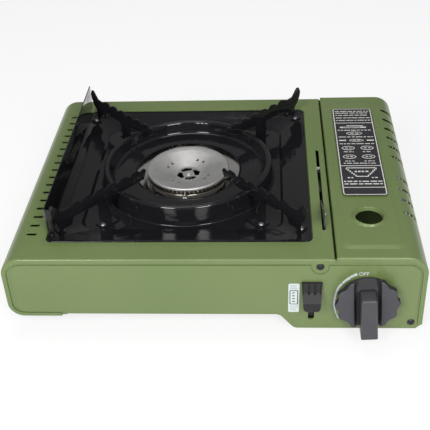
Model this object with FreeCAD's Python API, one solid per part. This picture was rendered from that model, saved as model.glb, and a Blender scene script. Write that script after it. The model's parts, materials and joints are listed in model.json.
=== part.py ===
"""Butane cassette stove: pressed steel casing, drip tray with pan supports, burner, regulator,
cartridge bay with a side-hinged lid. Millimetres, +Z up, the origin on the table under the middle."""
import FreeCAD, Part
import math
import os

Vector = FreeCAD.Vector

# Casing: widths along X, distances along Y counted from the casing's front
casing_width = 340.0
casing_depth = 268.0
casing_height = 72.0
foot_height = 4.0
sheet = 0.8
shoulder_radius = 16.8
low_corner_radius = 13.0
fold_radius = 1.5
split_fold = 1.4
left_rise = 14.8
wrap_drop = 2.4
wrap_flange = 44.0
rim_width = 4.0
panel_setback = 0.3
panel_flange_depth = 8.0
field_rise = 0.9
field_inset = 6.0
field_border_left = 7.8
field_border_low = 2.6
step_start_inset = 116.0
step_end_inset = 104.0
bay_width = 72.3
lid_gap = 1.4
lid_rise = 1.5
lid_skirt = 9.0
top_skirt = 12.0
opening_border = 5.5
border_fall = 0.4
seat_gap = 0.2
clearance = 0.3
fit_clearance = 0.05

# Vents and slots
vent_count = 17
vent_pitch = 12.42
vent_length = 8.6
vent_width = 3.6
vent_first = 34.5
vent_inset = 16.0
lid_vent_width = 5.4
lid_vents = (62.8, 81.9, 98.8, 116.3, 151.7, 169.5, 186.2, 203.4, 221.2, 239.7)
lid_vent_reach = 13.5
lid_vent_drop = 53.0
rear_slot_count = 9
rear_slot_pitch = 16.0
rear_slot_width = 3.2
rear_slot_height = 16.0
rear_slot_below = 24.0
floor_slot_length = 14.0
floor_slot_width = 4.0
floor_slot_pitch = 24.0
floor_slot_row = 34.0
blade_slot_inset = 7.3
blade_slot_width = 2.8
blade_slot_front = 39.0
blade_slot_rear = 165.3

# Drip tray: folds are half widths of squares round the burner, with their depths below the rim
tray_inset = 34.0
burner_y = 137.5
tray_to_slot = 10.4
tray_depth = 220.5
tray_front = 24.6
tray_gap = 1.0
tray_corner = 5.0
tray_sheet = 0.8
tray_rim_below = 0.4
tray_lip = 3.0
lip_round = 0.6
ledge_width = 3.0
upper_fold_inset = 11.0
upper_fold_depth = 4.0
lower_fold_inset = 22.0
lower_fold_depth = 7.5
floor_inset = 24.0
floor_depth = 9.5
corner_growth = 0.35
crater_inset = 28.0
crater_slope = 6.5
crater_crest_height = 17.0
crater_crest_width = 4.6
crater_batter = 1.0
crest_round = 2.2
basin_inset = 40.0
basin_height = 6.0
burner_hole_radius = 47.5
hole_lip = 1.2

# Pan supports, measured outwards from the burner's axis
support_sheet = 1.2
support_top = 21.5
support_band = 13.5
support_inner = 47.5
support_corner = 4.735
first_tooth_gap = 6.0
last_tooth_gap = 7.3
tooth_height = 3.0
tooth_count = 6
leg_gap = 7.0
leg_width = 13.0
outer_leg_inset = 10.8
outer_leg_width = 3.2
skirt_inset = 22.5
skirt_height = 1.0
horn_height = 5.5
horn_foot_inset = 11.0
horn_width = 4.5
inner_tab_length = 19.0
inner_tab_width = 11.5
inner_rivet = (15.5, 7.5)
outer_tab_start = 14.8
outer_tab_end = 7.6
outer_tab_width = 9.0
outer_rivet = (11.2, -4.9)
rivet_radius = 1.5
rivet_head_radius = 2.5
rivet_head_height = 1.3

# Upright plate on the tray's left side
guard_height = 27.0
guard_front = 30.0
guard_rear = 249.0
guard_curl = 6.0
guard_sheet = 0.9
guard_flange = 8.0
guard_flange_front = 54.0
guard_flange_rear = 222.0
guard_inset = 0.6
guard_rear_notch = 3.0

# Burner
cap_overhang = 0.9
cap_rim_thickness = 2.2
cap_rim_fall = 0.3
cap_rim_flat = 3.0
cap_dish_inset = 6.3
cap_dish_rim_fall = 1.0
cap_dish_depth = 6.5
cap_floor_radius = 11.5
cap_sheet = 1.0
cap_rivet_radius = 2.6
cap_hole_count = 4
cap_hole_place = 7.9
cap_hole_half = 2.9
cap_hole_end = 2.3
cap_hole_spread = 2.9
cap_hole_bend = 0.8
cap_rivet_dome = 0.5
cap_hole_turn = 18.0
cap_port_radius = 1.2
cap_port_place = 20.4
cap_port_turn = 60.0
cap_port_spread = 9.0
port_ring_height = 4.0
port_ring_wall = 3.0
port_ring_proud = 0.5
port_count = 60
port_width = 1.7
port_depth = 1.6
port_sill = 1.2
bowl_height = 18.0
bowl_top_radius = 36.4
bowl_bead = 0.7
bowl_bead_height = 1.4
bowl_waist_radius = 33.5
bowl_waist_height = 8.0
bowl_wall = 1.6
neck_radius = 13.0
neck_height = 4.0
reflector_outer = 55.0
reflector_lip = 1.5
reflector_flat = 4.0
reflector_drop = 8.0
reflector_below_basin = 1.0
reflector_sheet = 0.8
electrode_stand = 4.5
electrode_radius = 2.3
electrode_top = 70.0
electrode_length = 22.0
spark_wire_radius = 0.6
spark_wire_rise = 2.6
spark_gap = 1.4
lead_drop = 15.0
lead_straight = 8.0
lead_bends = [(0.1094, 78.0, 30.0), (0.2813, 64.0, 30.0), (0.4531, 52.0, 33.0), (0.6172, 43.0, 39.0),
              (0.7500, 36.0, 47.0), (0.8516, 31.0, 54.0)]
lead_radius = 1.1

# Mixing tube, jet and regulator
tube_radius = 9.0
tube_wall = 1.2
tube_z = 38.0
tube_length = 142.0
tube_collar_length = 16.0
tube_collar_proud = 2.0
air_slot_height = 6.0
air_slot_length = 8.0
gas_aim = 30.0
jet_radius = 3.5
jet_bore = 0.6
jet_start = 138.0
jet_end = 150.0
jet_nut = 5.5
jet_nut_length = 4.0
outlet_radius = 6.0
regulator_front = 9.0
regulator_rear = 52.0
barrel_radius = 11.0
valve_flange_radius = 15.0
valve_flange_height = 3.0
drum_radius = 17.0
drum_length = 20.0
drum_bead = 2.0
drum_bead_width = 3.0
socket_radius = 20.0
socket_depth = 7.0
socket_wall = 2.5
socket_floor = 2.0
strap_sheet = 1.2
strap_half = 46.0
strap_leg = 24.0
strap_slope = 8.0
strap_width = 18.0
regulator_plate = 6.0
regulator_plate_half = 16.0
regulator_plate_above = 14.0
regulator_foot = 14.0

# Cartridge bay
cartridge_inset = 37.0
cartridge_z = 41.5
partition_gap = 5.1
tube_window = 16.0
tube_window_half_height = 13.0
lead_window_front = 26.0
lead_window_rear = 34.0
lead_window_low = 52.5
lead_window_high = 61.5
strip_sheet = 1.5
strip_width = 20.0
strip_below_tray = 12.0
strip_upturn = 7.0
strip_offset = 3.0
strip_drop = 30.0
guide_y = 60.0
guide_arch = 24.0
guide_gap = 4.4
guide_side_drop = 12.0
guide_side_rise = 8.0
guide_foot = 12.0
guide_tab_width = 6.0
guide_tab_height = 6.0
bay_upturn = 9.0
bay_upturn_inset = 11.3
fork_y = 70.0
fork_arch = 21.5
fork_overlap = 7.0
fork_low = 20.0
fork_high = 62.0
fork_slide_low = 12.0
fork_slide_high = 26.0
fork_slide_front = 30.0
catch_y = 60.0
catch_length = 12.0
catch_sheet = 0.4
catch_rise = 0.6

# Knob and igniter
knob_inset = 46.7
knob_z = 38.0
knob_radius = 25.8
knob_rim_depth = 4.6
knob_barrel_depth = 4.5
knob_barrel_radius = 22.0
knob_turned = 3.5
knob_reach = 24.0
knob_gap = 1.5
knob_lobes = 12
lobe_crest = 1.4
lobe_root = -2.8
lobe_round = 20.0
knob_face_round = 1.2
knob_channel = 17.4
knob_channel_slope = 2.2
scoop_start = 13.0
scoop_end = 22.6
knob_channel_depth = 3.0
knob_skin = 0.6
bar_width = 11.9
bar_flare = 0.8
bar_up = 16.3
bar_rear_drop = 3.0
bar_down = 24.2
bar_nose = 1.8
spindle_radius = 4.0
spindle_hole = 4.8
spindle_seat = 8.0
spindle_depth = 22.0
cam_radius = 8.0
cam_lobe = 12.5
cam_front = 4.5
cam_width = 3.0
igniter_offset = 16.3
igniter_z = 57.0
igniter_radius = 6.0
igniter_front = 4.0
igniter_length = 38.0
igniter_nose_radius = 3.5
igniter_nose_length = 6.0
igniter_terminal_y = 30.0
igniter_terminal_radius = 1.8

# Lock lever and interlock blade
lever_inset = 90.4
lever_slot_width = 5.0
lever_slot_low = 14.3
lever_slot_high = 47.0
lever_width = 16.6
lever_foot_width = 13.2
lever_ledge_width = 14.4
lever_low = 30.6
lever_high = 54.0
lever_ledge = 39.7
lever_scoop = 45.8
lever_scoop_reach = 4.2
lever_top_reach = 2.4
lever_reach = 10.2
lever_travel = 12.0
lever_groove_count = 4
lever_groove_pitch = 4.9
lever_groove_radius = 0.9
lever_stem_low = 37.0
lever_stem_height = 9.0
lever_stem_play = 0.4
lock_plate_half = 8.0
lock_plate_sheet = 1.5
lock_plate_below = 8.0
lock_plate_above = 11.0
lock_guide_wall = 2.2
lock_guide_sheet = 1.2
lock_guide_margin = 3.0
blade_sheet = 0.8
blade_skew = 2.0
blade_skew_centre = 64.0
blade_sink = 9.0
blade_sink_run = 8.0
blade_front = 42.5
blade_run = 41.0
blade_rise = 14.0
blade_tail = 10.0
blade_pivot = 150.0
blade_pivot_below = 12.0
blade_boss = 6.0
blade_pin_radius = 1.5
blade_pin_head = 3.0

# Lid
pad_left_inset = 5.3
pad_right_inset = 17.0
pad_front = 12.0
pad_rear = 256.0
pad_ramp = 4.0
pad_rise = 1.0
pad_corner = 6.0
window_inset = 42.2
window_y = 54.0
window_radius = 11.0
window_rim_radius = 15.0
window_rim_height = 1.5
hinge_inset = 4.6
hinge_z = 7.6
hinge_pin_radius = 1.5
ear_radius = 3.0
ear_height = 20.0
ear_sheet = 1.0
ear_setback = 3.0
lid_wall_above_hinge = 1.2

# Screws and feet
screw_head_radius = 3.2
screw_head_height = 1.0
screw_radius = 1.5
screw_hole = 1.6
screw_length = 6.0
top_screw = (84.3, 68.2)
low_screw = (9.4, 10.9)
rear_screw_inset = 24.0
rear_screw_below = 12.0
rear_screw_above = 8.0
screw_dimple = 7.0
foot_radius = 9.0
foot_sole_radius = 7.0
left_foot_inset = 62.0
right_foot_inset = 29.0
front_foot = 45.0
rear_foot = 225.0

# Places worked out from the sizes above
front_y = (knob_reach - casing_depth) / 2
back_y = front_y + casing_depth
left_x = -casing_width / 2
right_x = casing_width / 2
bay_split = right_x - bay_width
step_start = right_x - step_start_inset
step_end = right_x - step_end_inset
partition_x = bay_split - partition_gap
blade_slot_x = bay_split - blade_slot_inset
guide_edge = partition_x + guide_gap
cartridge_x = right_x - cartridge_inset
fork_reach = cartridge_x - fork_overlap
knob_x = right_x - knob_inset
igniter_x = knob_x - igniter_offset
lever_x = right_x - lever_inset
hinge_x = right_x - hinge_inset
window_x = right_x - window_inset
pad_left = bay_split + pad_left_inset
pad_right = right_x - pad_right_inset
top_screw_x = right_x - top_screw[0]
low_screw_x = right_x - low_screw[0]
tray_width = blade_slot_x - tray_to_slot - left_x - tray_inset
tray_x = left_x + tray_inset + tray_width / 2
tray_span = min(tray_width, tray_depth)
upper_fold = tray_span / 2 - upper_fold_inset
lower_fold = tray_span / 2 - lower_fold_inset
floor_half = tray_span / 2 - floor_inset
crater_foot_radius = tray_span / 2 - crater_inset
crater_crest_radius = crater_foot_radius - crater_slope
basin_radius = tray_span / 2 - basin_inset
support_outer = tray_span * math.sqrt(0.5) - support_corner
horn_foot = support_outer - horn_foot_inset
outer_leg = support_outer - outer_leg_inset
skirt_start = support_outer - skirt_inset
leg_inner = crater_foot_radius + leg_gap
first_tooth = support_inner + first_tooth_gap
tooth_pitch = (horn_foot - last_tooth_gap - first_tooth) / tooth_count
top_z = foot_height + casing_height
lid_z = top_z + lid_rise
panel_low_left = foot_height + left_rise
wrap_low = panel_low_left - wrap_drop
panel_y = front_y + sheet + panel_setback
panel_back = panel_y + sheet
rear_panel_y = back_y - sheet - panel_setback
rear_panel_front = rear_panel_y - sheet
panel_reach = sheet + panel_setback
bay_floor = foot_height + sheet
burner_floor = panel_low_left + sheet
tray_rim_z = top_z - tray_rim_below
tray_floor_z = tray_rim_z - floor_depth
tray_underside = tray_floor_z - tray_sheet
ledge_z = tray_rim_z - tray_lip - seat_gap
cap_rim_z = top_z
cap_radius = bowl_top_radius + cap_overhang
electrode_reach = cap_radius + electrode_stand
port_ring_top = cap_rim_z - cap_rim_thickness
bowl_top = port_ring_top - port_ring_height
bowl_low = bowl_top - bowl_height
neck_low = bowl_low - neck_height
strip_z = tray_underside - strip_below_tray
support_peak = top_z + support_top
support_valley = support_peak - tooth_height
support_low = support_peak - support_band
horn_top = support_peak + horn_height
guard_top = top_z + guard_height
pad_y = panel_y - field_rise
knob_back = pad_y - knob_gap
knob_rim = knob_back - knob_barrel_depth
knob_face = knob_rim - knob_rim_depth
knob_front = front_y - knob_reach
blade_pivot_z = top_z - blade_pivot_below


def fy(distance):
    """Y of a point this far behind the casing's front."""
    return front_y + distance


centre_y = fy(burner_y)


def box(x0, x1, y0, y1, z0, z1):
    return Part.makeBox(x1 - x0, y1 - y0, z1 - z0, Vector(x0, y0, z0))


def cylinder(radius, height, base, axis=(0, 0, 1)):
    return Part.makeCylinder(radius, height, Vector(*base), Vector(*axis))


def place(u, v, plane, w=0.0):
    """A point of a plane's own (u, v) grid: 'xz' looks along Y, 'yz' along X, 'xy' down on Z."""
    if plane == "xz":
        return Vector(u, w, v)
    if plane == "yz":
        return Vector(w, u, v)
    return Vector(u, v, w)


def corner_arc(before, point, after, radius):
    """Start, middle and end of the arc that rounds one corner, or None where the path is straight."""
    length_a = math.hypot(before[0] - point[0], before[1] - point[1])
    length_b = math.hypot(after[0] - point[0], after[1] - point[1])
    a = ((before[0] - point[0]) / length_a, (before[1] - point[1]) / length_a)
    b = ((after[0] - point[0]) / length_b, (after[1] - point[1]) / length_b)
    half = math.acos(max(-1.0, min(1.0, a[0] * b[0] + a[1] * b[1]))) / 2
    if abs(half - math.pi / 2) < 1e-6:
        return None
    cut = min(radius / math.tan(half), length_a * 0.499, length_b * 0.499)
    true_radius = cut * math.tan(half)
    middle = (a[0] + b[0], a[1] + b[1])
    scale = (true_radius / math.sin(half) - true_radius) / math.hypot(*middle)
    return ((point[0] + a[0] * cut, point[1] + a[1] * cut),
            (point[0] + middle[0] * scale, point[1] + middle[1] * scale),
            (point[0] + b[0] * cut, point[1] + b[1] * cut))


def rounded_edges(points, radii, plane, w=0.0, closed=False):
    """Straight runs joined by arcs: one radius for each point, 0 for a sharp corner."""
    count = len(points)
    ends = []
    for i, (point, radius) in enumerate(zip(points, radii)):
        arc = None
        if radius > 0 and (closed or 0 < i < count - 1):
            arc = corner_arc(points[i - 1], point, points[(i + 1) % count], radius)
        ends.append(arc or (point, None, point))
    edges = []
    last = count if closed else count - 1
    for i in range(count):
        start, middle, end = ends[i]
        if middle is not None:
            edges.append(Part.Arc(place(*start, plane, w), place(*middle, plane, w),
                                  place(*end, plane, w)).toShape())
        if i < last:
            p = place(*end, plane, w)
            q = place(*ends[(i + 1) % count][0], plane, w)
            if p.distanceToPoint(q) > 1e-6:
                edges.append(Part.LineSegment(p, q).toShape())
    return edges


def rounded_wire(points, radii, plane, w=0.0):
    if isinstance(radii, (int, float)):
        radii = [radii] * len(points)
    return Part.Wire(Part.__sortEdges__(rounded_edges(points, radii, plane, w, closed=True)))


def plate(points, radii, plane, w0, w1):
    """A flat outline with rounded corners, extruded from w0 to w1 along the plane's normal."""
    face = Part.Face(rounded_wire(points, radii, plane, w0))
    return face.extrude(place(0, 0, plane, w1 - w0))


def rectangle(x0, x1, y0, y1):
    return [(x0, y0), (x1, y0), (x1, y1), (x0, y1)]


def offset_path(points, distance):
    """The path moved to its left by a distance, mitred at its corners."""
    normals = []
    for p, q in zip(points, points[1:]):
        length = math.hypot(q[0] - p[0], q[1] - p[1])
        normals.append((-(q[1] - p[1]) / length, (q[0] - p[0]) / length))
    moved = []
    for i, point in enumerate(points):
        n0 = normals[max(i - 1, 0)]
        n1 = normals[min(i, len(normals) - 1)]
        scale = distance / (1 + n0[0] * n1[0] + n0[1] * n1[1])
        moved.append((point[0] + (n0[0] + n1[0]) * scale, point[1] + (n0[1] + n1[1]) * scale))
    return moved


def bent_face(points, radii, thickness, plane, w=0.0):
    """The section of a bent sheet: its thickness lies to the left of the path."""
    inner = offset_path(points, thickness)
    inner_radii = []
    for i, radius in enumerate(radii):
        if radius <= 0 or i in (0, len(points) - 1):
            inner_radii.append(0.0)
            continue
        p, q, r = points[i - 1], points[i], points[i + 1]
        left_turn = (q[0] - p[0]) * (r[1] - q[1]) - (q[1] - p[1]) * (r[0] - q[0]) > 0
        inner_radii.append(max(radius - thickness, 0.05) if left_turn else radius + thickness)
    caps = [Part.LineSegment(place(*points[0], plane, w), place(*inner[0], plane, w)).toShape(),
            Part.LineSegment(place(*points[-1], plane, w), place(*inner[-1], plane, w)).toShape()]
    edges = rounded_edges(points, radii, plane, w) + rounded_edges(inner, inner_radii, plane, w) + caps
    return Part.Face(Part.Wire(Part.__sortEdges__(edges)))


def bent_sheet(points, radii, thickness, plane, w0, w1):
    return bent_face(points, radii, thickness, plane, w0).extrude(place(0, 0, plane, w1 - w0))


def stadium(x, y, length, width, z0, z1, along_x=True):
    """A round-ended slot cutter."""
    half = length / 2
    if along_x:
        corners = rectangle(x - half, x + half, y - width / 2, y + width / 2)
    else:
        corners = rectangle(x - width / 2, x + width / 2, y - half, y + half)
    return plate(corners, width * 0.499, "xy", z0, z1)


def turned(face, x, y):
    """A section in the (radius, z) plane turned about a vertical axis at (x, y)."""
    solid = face.revolve(Vector(0, 0, 0), Vector(0, 0, 1), 360)
    solid.translate(Vector(x, y, 0))
    return solid


def revolve(points, radii, x, y):
    return turned(Part.Face(rounded_wire(points, radii, "xz")), x, y)


def rounded_block(points, radii, corner):
    """A block bounded by the path and one far corner, its front and back edges rounded along the path."""
    block = plate(points + [corner], radii + [0], "xz", front_y, back_y)
    edges = []
    for y in (front_y, back_y):
        outline = Part.Wire(Part.__sortEdges__(rounded_edges(points, radii, "xz", y)))
        for edge in block.Edges:
            middle = edge.valueAt((edge.FirstParameter + edge.LastParameter) / 2)
            if abs(middle.y - y) < 1e-6 and outline.distToShape(Part.Vertex(middle))[0] < 1e-6:
                edges.append(edge)
    return block.makeFillet(fold_radius, edges)


def rimmed_sheet(points, radii, rim_from, rim_to, start, corner, end):
    """A sheet bent along the path over the casing's depth, with a rim turned in at both ends.

    The rim's folds are rounded with a block that runs from start round the path's corners to end."""
    shell = bent_sheet(points, radii, sheet, "xz", front_y, back_y)
    rim_points = points[rim_from:rim_to]
    rim_radii = radii[rim_from:rim_to]
    for y in (front_y, back_y - sheet):
        shell = shell.fuse(bent_sheet(rim_points, rim_radii, rim_width, "xz", y, y + sheet))
    block = rounded_block([start] + rim_points[1:-1] + [end], [0] + rim_radii[1:-1] + [0], corner)
    return shell.removeSplitter().common(block)


def skirt_ends(x0, x1, z0, z1):
    """Cutters that end a skirt behind the front and rear panels; the sheet above it stays whole."""
    cutters = []
    for outer, inner, rim in ((front_y, panel_back + clearance, front_y + sheet),
                              (back_y, rear_panel_front - clearance, back_y - sheet)):
        y0, y1 = sorted((rim, inner))
        cutters.append(box(x0, x1, y0, y1, z0, z1 - sheet))
        y0, y1 = sorted((outer, rim))
        cutters.append(box(x0, x1, y0, y1, z0, z1 - rim_width))
    return Part.makeCompound(cutters)


def tray_rectangle(grow):
    """The tray's outer rectangle, grown by a distance on all sides."""
    half_x = tray_width / 2 + grow
    return rectangle(tray_x - half_x, tray_x + half_x, fy(tray_front) - grow, fy(tray_front) + tray_depth + grow)


def make_body_shell():
    """Top plate, left shoulder, left wall and the flange under it, with the tray opening and its ledge."""
    right = bay_split - lid_gap / 2
    path = [(right, top_z - top_skirt), (right, top_z), (left_x, top_z), (left_x, wrap_low),
            (left_x + wrap_flange, wrap_low)]
    beyond = right + casing_height
    shell = rimmed_sheet(path, [0, split_fold, shoulder_radius, low_corner_radius, 0], 1, 5,
                         (beyond, top_z), (beyond, wrap_low - rim_width),
                         (left_x + wrap_flange + rim_width, wrap_low))
    shell = shell.cut(skirt_ends(right - 2 * sheet, right, top_z - top_skirt, top_z))
    corner = tray_corner + tray_gap
    collar = plate(tray_rectangle(tray_gap + sheet), corner + sheet, "xy", ledge_z - sheet, top_z - sheet / 2)
    shell = shell.fuse(collar)
    upper = Part.makeLoft([rounded_wire(tray_rectangle(tray_gap), corner, "xy", top_z - border_fall),
                           rounded_wire(tray_rectangle(tray_gap + opening_border), corner + opening_border, "xy",
                                        top_z)], True, True)
    shell = shell.cut(upper)
    shell = shell.cut(plate(tray_rectangle(tray_gap), corner, "xy", ledge_z, top_z + 1))
    shell = shell.cut(plate(tray_rectangle(tray_gap - ledge_width), corner - ledge_width, "xy",
                            ledge_z - 2 * sheet, top_z))
    vent_x = left_x + vent_inset + vent_length / 2
    vents = [stadium(vent_x, fy(vent_first + i * vent_pitch), vent_length, vent_width, top_z - 4, top_z + 1)
             for i in range(vent_count)]
    slot_length = blade_slot_rear - blade_slot_front
    vents.append(stadium(blade_slot_x, fy(blade_slot_front + slot_length / 2), slot_length, blade_slot_width,
                         top_z - 3, top_z + 1, along_x=False))
    return shell.cut(Part.makeCompound(vents))


def panel_plate(y0, y1):
    """The outline of the front and rear panels, just inside the casing's sheet."""
    right_low = foot_height + rim_width
    outline = [(left_x + panel_reach, panel_low_left), (step_start, panel_low_left), (step_end, foot_height),
               (right_x - panel_reach - rim_width, foot_height), (right_x - panel_reach, right_low),
               (right_x - panel_reach, top_z - panel_reach), (left_x + panel_reach, top_z - panel_reach)]
    radii = [low_corner_radius - panel_reach, 7.0, 7.0, 2.0, rim_width, shoulder_radius + lid_rise - panel_reach,
             shoulder_radius - panel_reach]
    return plate(outline, radii, "xz", y0, y1)


def panel_flange(y0, y1):
    """The flange turned back along a panel's top and left edges, inside the casing's sheet."""
    high = top_z - panel_reach
    path = [(partition_x - sheet, high), (left_x + panel_reach, high),
            (left_x + panel_reach, panel_low_left + shoulder_radius)]
    return bent_sheet(path, [0, shoulder_radius - panel_reach, 0], sheet, "xz", y0, y1)


def through_hole(x, z, radius, y):
    return cylinder(radius, 8.0, (x, y - 4.0, z), (0, 1, 0))


def front_screws():
    return [(top_screw_x, top_screw[1]), (low_screw_x, low_screw[1])]


def make_front_panel():
    """One panel across the front, its field pressed forward inside a border."""
    panel = panel_plate(panel_y, panel_back).fuse(panel_flange(panel_back, panel_back + panel_flange_depth))
    left = left_x + field_border_left
    high = top_z - field_inset
    right = right_x - field_inset
    border = field_border_low
    clear_x = low_screw_x - screw_head_radius - field_inset
    clear_z = low_screw[1] + screw_head_radius
    field = [(left, panel_low_left + border), (step_start + border, panel_low_left + border),
             (step_end + border, foot_height + border), (clear_x, foot_height + border),
             (clear_x, clear_z), (right, clear_z + border), (right, high), (left, high)]
    pad = plate(field, [8.0, 7.0, 7.0, 3.0, 3.5, 7.0, 9.0, 9.0], "xz", pad_y, panel_y + sheet / 4)
    x, z = top_screw_x, top_screw[1]
    pad = pad.cut(through_hole(x, z, screw_dimple, panel_y - 4.0))
    pad = pad.cut(box(x - screw_dimple, x + screw_dimple, panel_y - 3, panel_y, z, top_z))
    panel = panel.fuse(pad)
    half = lever_slot_width / 2
    panel = panel.cut(plate(rectangle(lever_x - half, lever_x + half, lever_slot_low, lever_slot_high), half * 0.6,
                            "xz", panel_y - 3, panel_y + 3))
    panel = panel.cut(through_hole(knob_x, knob_z, spindle_hole, panel_y))
    for x, z in front_screws():
        panel = panel.cut(through_hole(x, z, screw_hole, panel_y))
    return panel


def rear_screws():
    left = left_x + rear_screw_inset
    high = top_z - rear_screw_below
    return [(left, high), (top_screw_x, high), (left, panel_low_left + rear_screw_above),
            (low_screw_x, low_screw[1])]


def make_rear_panel():
    """The rear panel, with a row of cooling slots behind the burner."""
    panel = panel_plate(rear_panel_front, rear_panel_y)
    panel = panel.fuse(panel_flange(rear_panel_front - panel_flange_depth, rear_panel_front))
    high = top_z - rear_slot_below
    half = rear_slot_width / 2
    cutters = []
    for i in range(rear_slot_count):
        x = tray_x + (i - (rear_slot_count - 1) / 2) * rear_slot_pitch
        cutters.append(plate(rectangle(x - half, x + half, high - rear_slot_height, high), half * 0.95, "xz",
                             rear_panel_front - 2, rear_panel_y + 2))
    for x, z in rear_screws():
        cutters.append(through_hole(x, z, screw_hole, rear_panel_y))
    return panel.cut(Part.makeCompound(cutters))


def make_bottom_plate():
    """The floor: high under the burner, stepped down to the cartridge bay, turned up at its right edge."""
    flange_end = left_x + wrap_flange
    right = right_x - panel_reach - bay_upturn_inset
    path = [(left_x + low_corner_radius + 1.0, wrap_low + sheet), (flange_end + 3.0, wrap_low + sheet),
            (flange_end + 7.0, panel_low_left), (step_start, panel_low_left), (step_end, foot_height),
            (right, foot_height), (right, foot_height + bay_upturn)]
    floor = bent_sheet(path, [0, 1.0, 1.0, 6.0, 6.0, 1.5, 0], sheet, "xz", panel_back, rear_panel_front)
    slots = []
    for row in (-1, 1):
        for column in range(-2, 3):
            slots.append(stadium(tray_x + column * floor_slot_pitch, centre_y + row * floor_slot_row,
                                 floor_slot_length, floor_slot_width, panel_low_left - 2, panel_low_left + 3))
    return floor.cut(Part.makeCompound(slots))


def gas_direction():
    """Unit vector in plan from the burner's axis towards the valve, and the distance to it."""
    dx = knob_x - tray_x
    dy = gas_aim - burner_y
    length = math.hypot(dx, dy)
    return dx / length, dy / length, length


def along_gas(distance):
    """A point on the gas line this far from the burner's axis."""
    ux, uy, _ = gas_direction()
    return tray_x + ux * distance, centre_y + uy * distance, tube_z


def make_bay_partition():
    """The upright heat shield between the burner and the cartridge bay."""
    x0 = partition_x
    x1 = partition_x + sheet
    wall = box(x0, x1, panel_back, rear_panel_front, bay_floor, top_z - sheet)
    ux, uy, _ = gas_direction()
    tube_y = centre_y + (partition_x - tray_x) / ux * uy
    half = strip_width / 2 + clearance
    windows = [box(x0 - 1, x1 + 1, tube_y - tube_window, tube_y + tube_window, tube_z - tube_window_half_height,
                   tube_z + tube_window_half_height),
               box(x0 - 1, x1 + 1, centre_y - half, centre_y + half, strip_z - clearance,
                   strip_z + strip_sheet + clearance),
               box(x0 - 1, x1 + 1, fy(lead_window_front), fy(lead_window_rear), lead_window_low, lead_window_high)]
    return wall.cut(Part.makeCompound(windows))


def bowl_radius_at(z):
    """Outer radius of the burner bowl's upper wall at a height."""
    waist_z = bowl_low + bowl_waist_height
    return bowl_waist_radius + (bowl_top_radius - bowl_waist_radius) * (z - waist_z) / (bowl_top - waist_z)


def make_heat_strip():
    """Aluminium strip that carries a little burner heat to the cartridge."""
    high = strip_z + strip_upturn
    near = tray_x + bowl_radius_at(high) + clearance + strip_sheet
    far = partition_x + sheet + strip_offset
    path = [(near, high), (near, strip_z), (far, strip_z), (far, strip_z - strip_drop)]
    section = bent_sheet(path[1:], [0, 3.0, 0], strip_sheet, "xz", centre_y - strip_width / 2,
                         centre_y + strip_width / 2)
    upturn = box(near - strip_sheet, near, centre_y - strip_width / 2, centre_y + strip_width / 2, strip_z, high)
    return section.fuse(upturn)


def tray_space(drop):
    """The space over the tray's square part, down to its folds and floor, moved down by a drop."""
    levels = [(tray_rectangle(0.0), tray_corner, 0.0)]
    for half, depth in ((upper_fold, upper_fold_depth), (lower_fold, lower_fold_depth), (floor_half, floor_depth)):
        corner = tray_corner + (tray_span / 2 - half) * corner_growth
        levels.append((rectangle(tray_x - half, tray_x + half, centre_y - half, centre_y + half), corner, depth))
    wires = [rounded_wire(points, corner, "xy", tray_rim_z - depth - drop) for points, corner, depth in levels]
    return Part.makeLoft(wires, True, True)


def on_tray(thickness):
    """A layer of a thickness lying on the tray's folds and floor."""
    return tray_space(0.0).cut(tray_space(-thickness))


def make_drip_tray():
    """Square enamelled tray: lip, sloping borders, floor and the raised ring round the burner."""
    low = tray_rim_z - tray_lip
    lip = plate(tray_rectangle(0.0), tray_corner, "xy", low, tray_rim_z)
    top_edges = [edge for edge in lip.Edges if edge.BoundBox.ZMin > tray_rim_z - 1e-6]
    lip = lip.makeFillet(lip_round, top_edges)
    lip = lip.cut(plate(tray_rectangle(-tray_sheet), tray_corner - tray_sheet, "xy", low - 1, tray_rim_z + 1))
    lip = lip.cut(tray_space(0.0))
    square = tray_space(tray_sheet).cut(tray_space(0.0)).common(
        plate(tray_rectangle(-tray_sheet / 2), tray_corner - tray_sheet / 2, "xy", tray_underside - 1, tray_rim_z))
    square = square.fuse(lip)
    square = square.cut(cylinder(crater_foot_radius, floor_depth + 20, (tray_x, centre_y, tray_underside - 5)))
    floor = tray_floor_z
    crest = floor + crater_crest_height
    half = crater_crest_width / 2
    profile = [(crater_foot_radius + sheet / 2, floor), (crater_foot_radius - crater_batter, floor),
               (crater_crest_radius + half, crest), (crater_crest_radius - half, crest),
               (basin_radius, floor + basin_height), (burner_hole_radius + hole_lip, floor + basin_height),
               (burner_hole_radius, floor + basin_height + hole_lip)]
    ring = turned(bent_face(profile, [0, 1.2, crest_round, crest_round, 2.5, 0.8, 0], tray_sheet, "xz"),
                  tray_x, centre_y)
    holes = [cylinder(rivet_radius + fit_clearance, 8, (x, y, z - 4)) for x, y, z in rivet_places()]
    return square.fuse(ring).cut(Part.makeCompound(holes))


arm_names = ("rear_right", "rear_left", "front_left", "front_right")


def arm_side(index):
    """The side that an arm's inner foot is bent to: forwards on the front arms, back on the rear ones."""
    return 1.0 if index % 2 == 0 else -1.0


def arm_placed(shape, index):
    """Moves a shape from an arm's own frame, outwards along X, to its diagonal of the tray."""
    shape.rotate(Vector(0, 0, 0), Vector(0, 0, 1), 45.0 + 90.0 * index)
    shape.translate(Vector(tray_x, centre_y, 0))
    return shape


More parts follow.
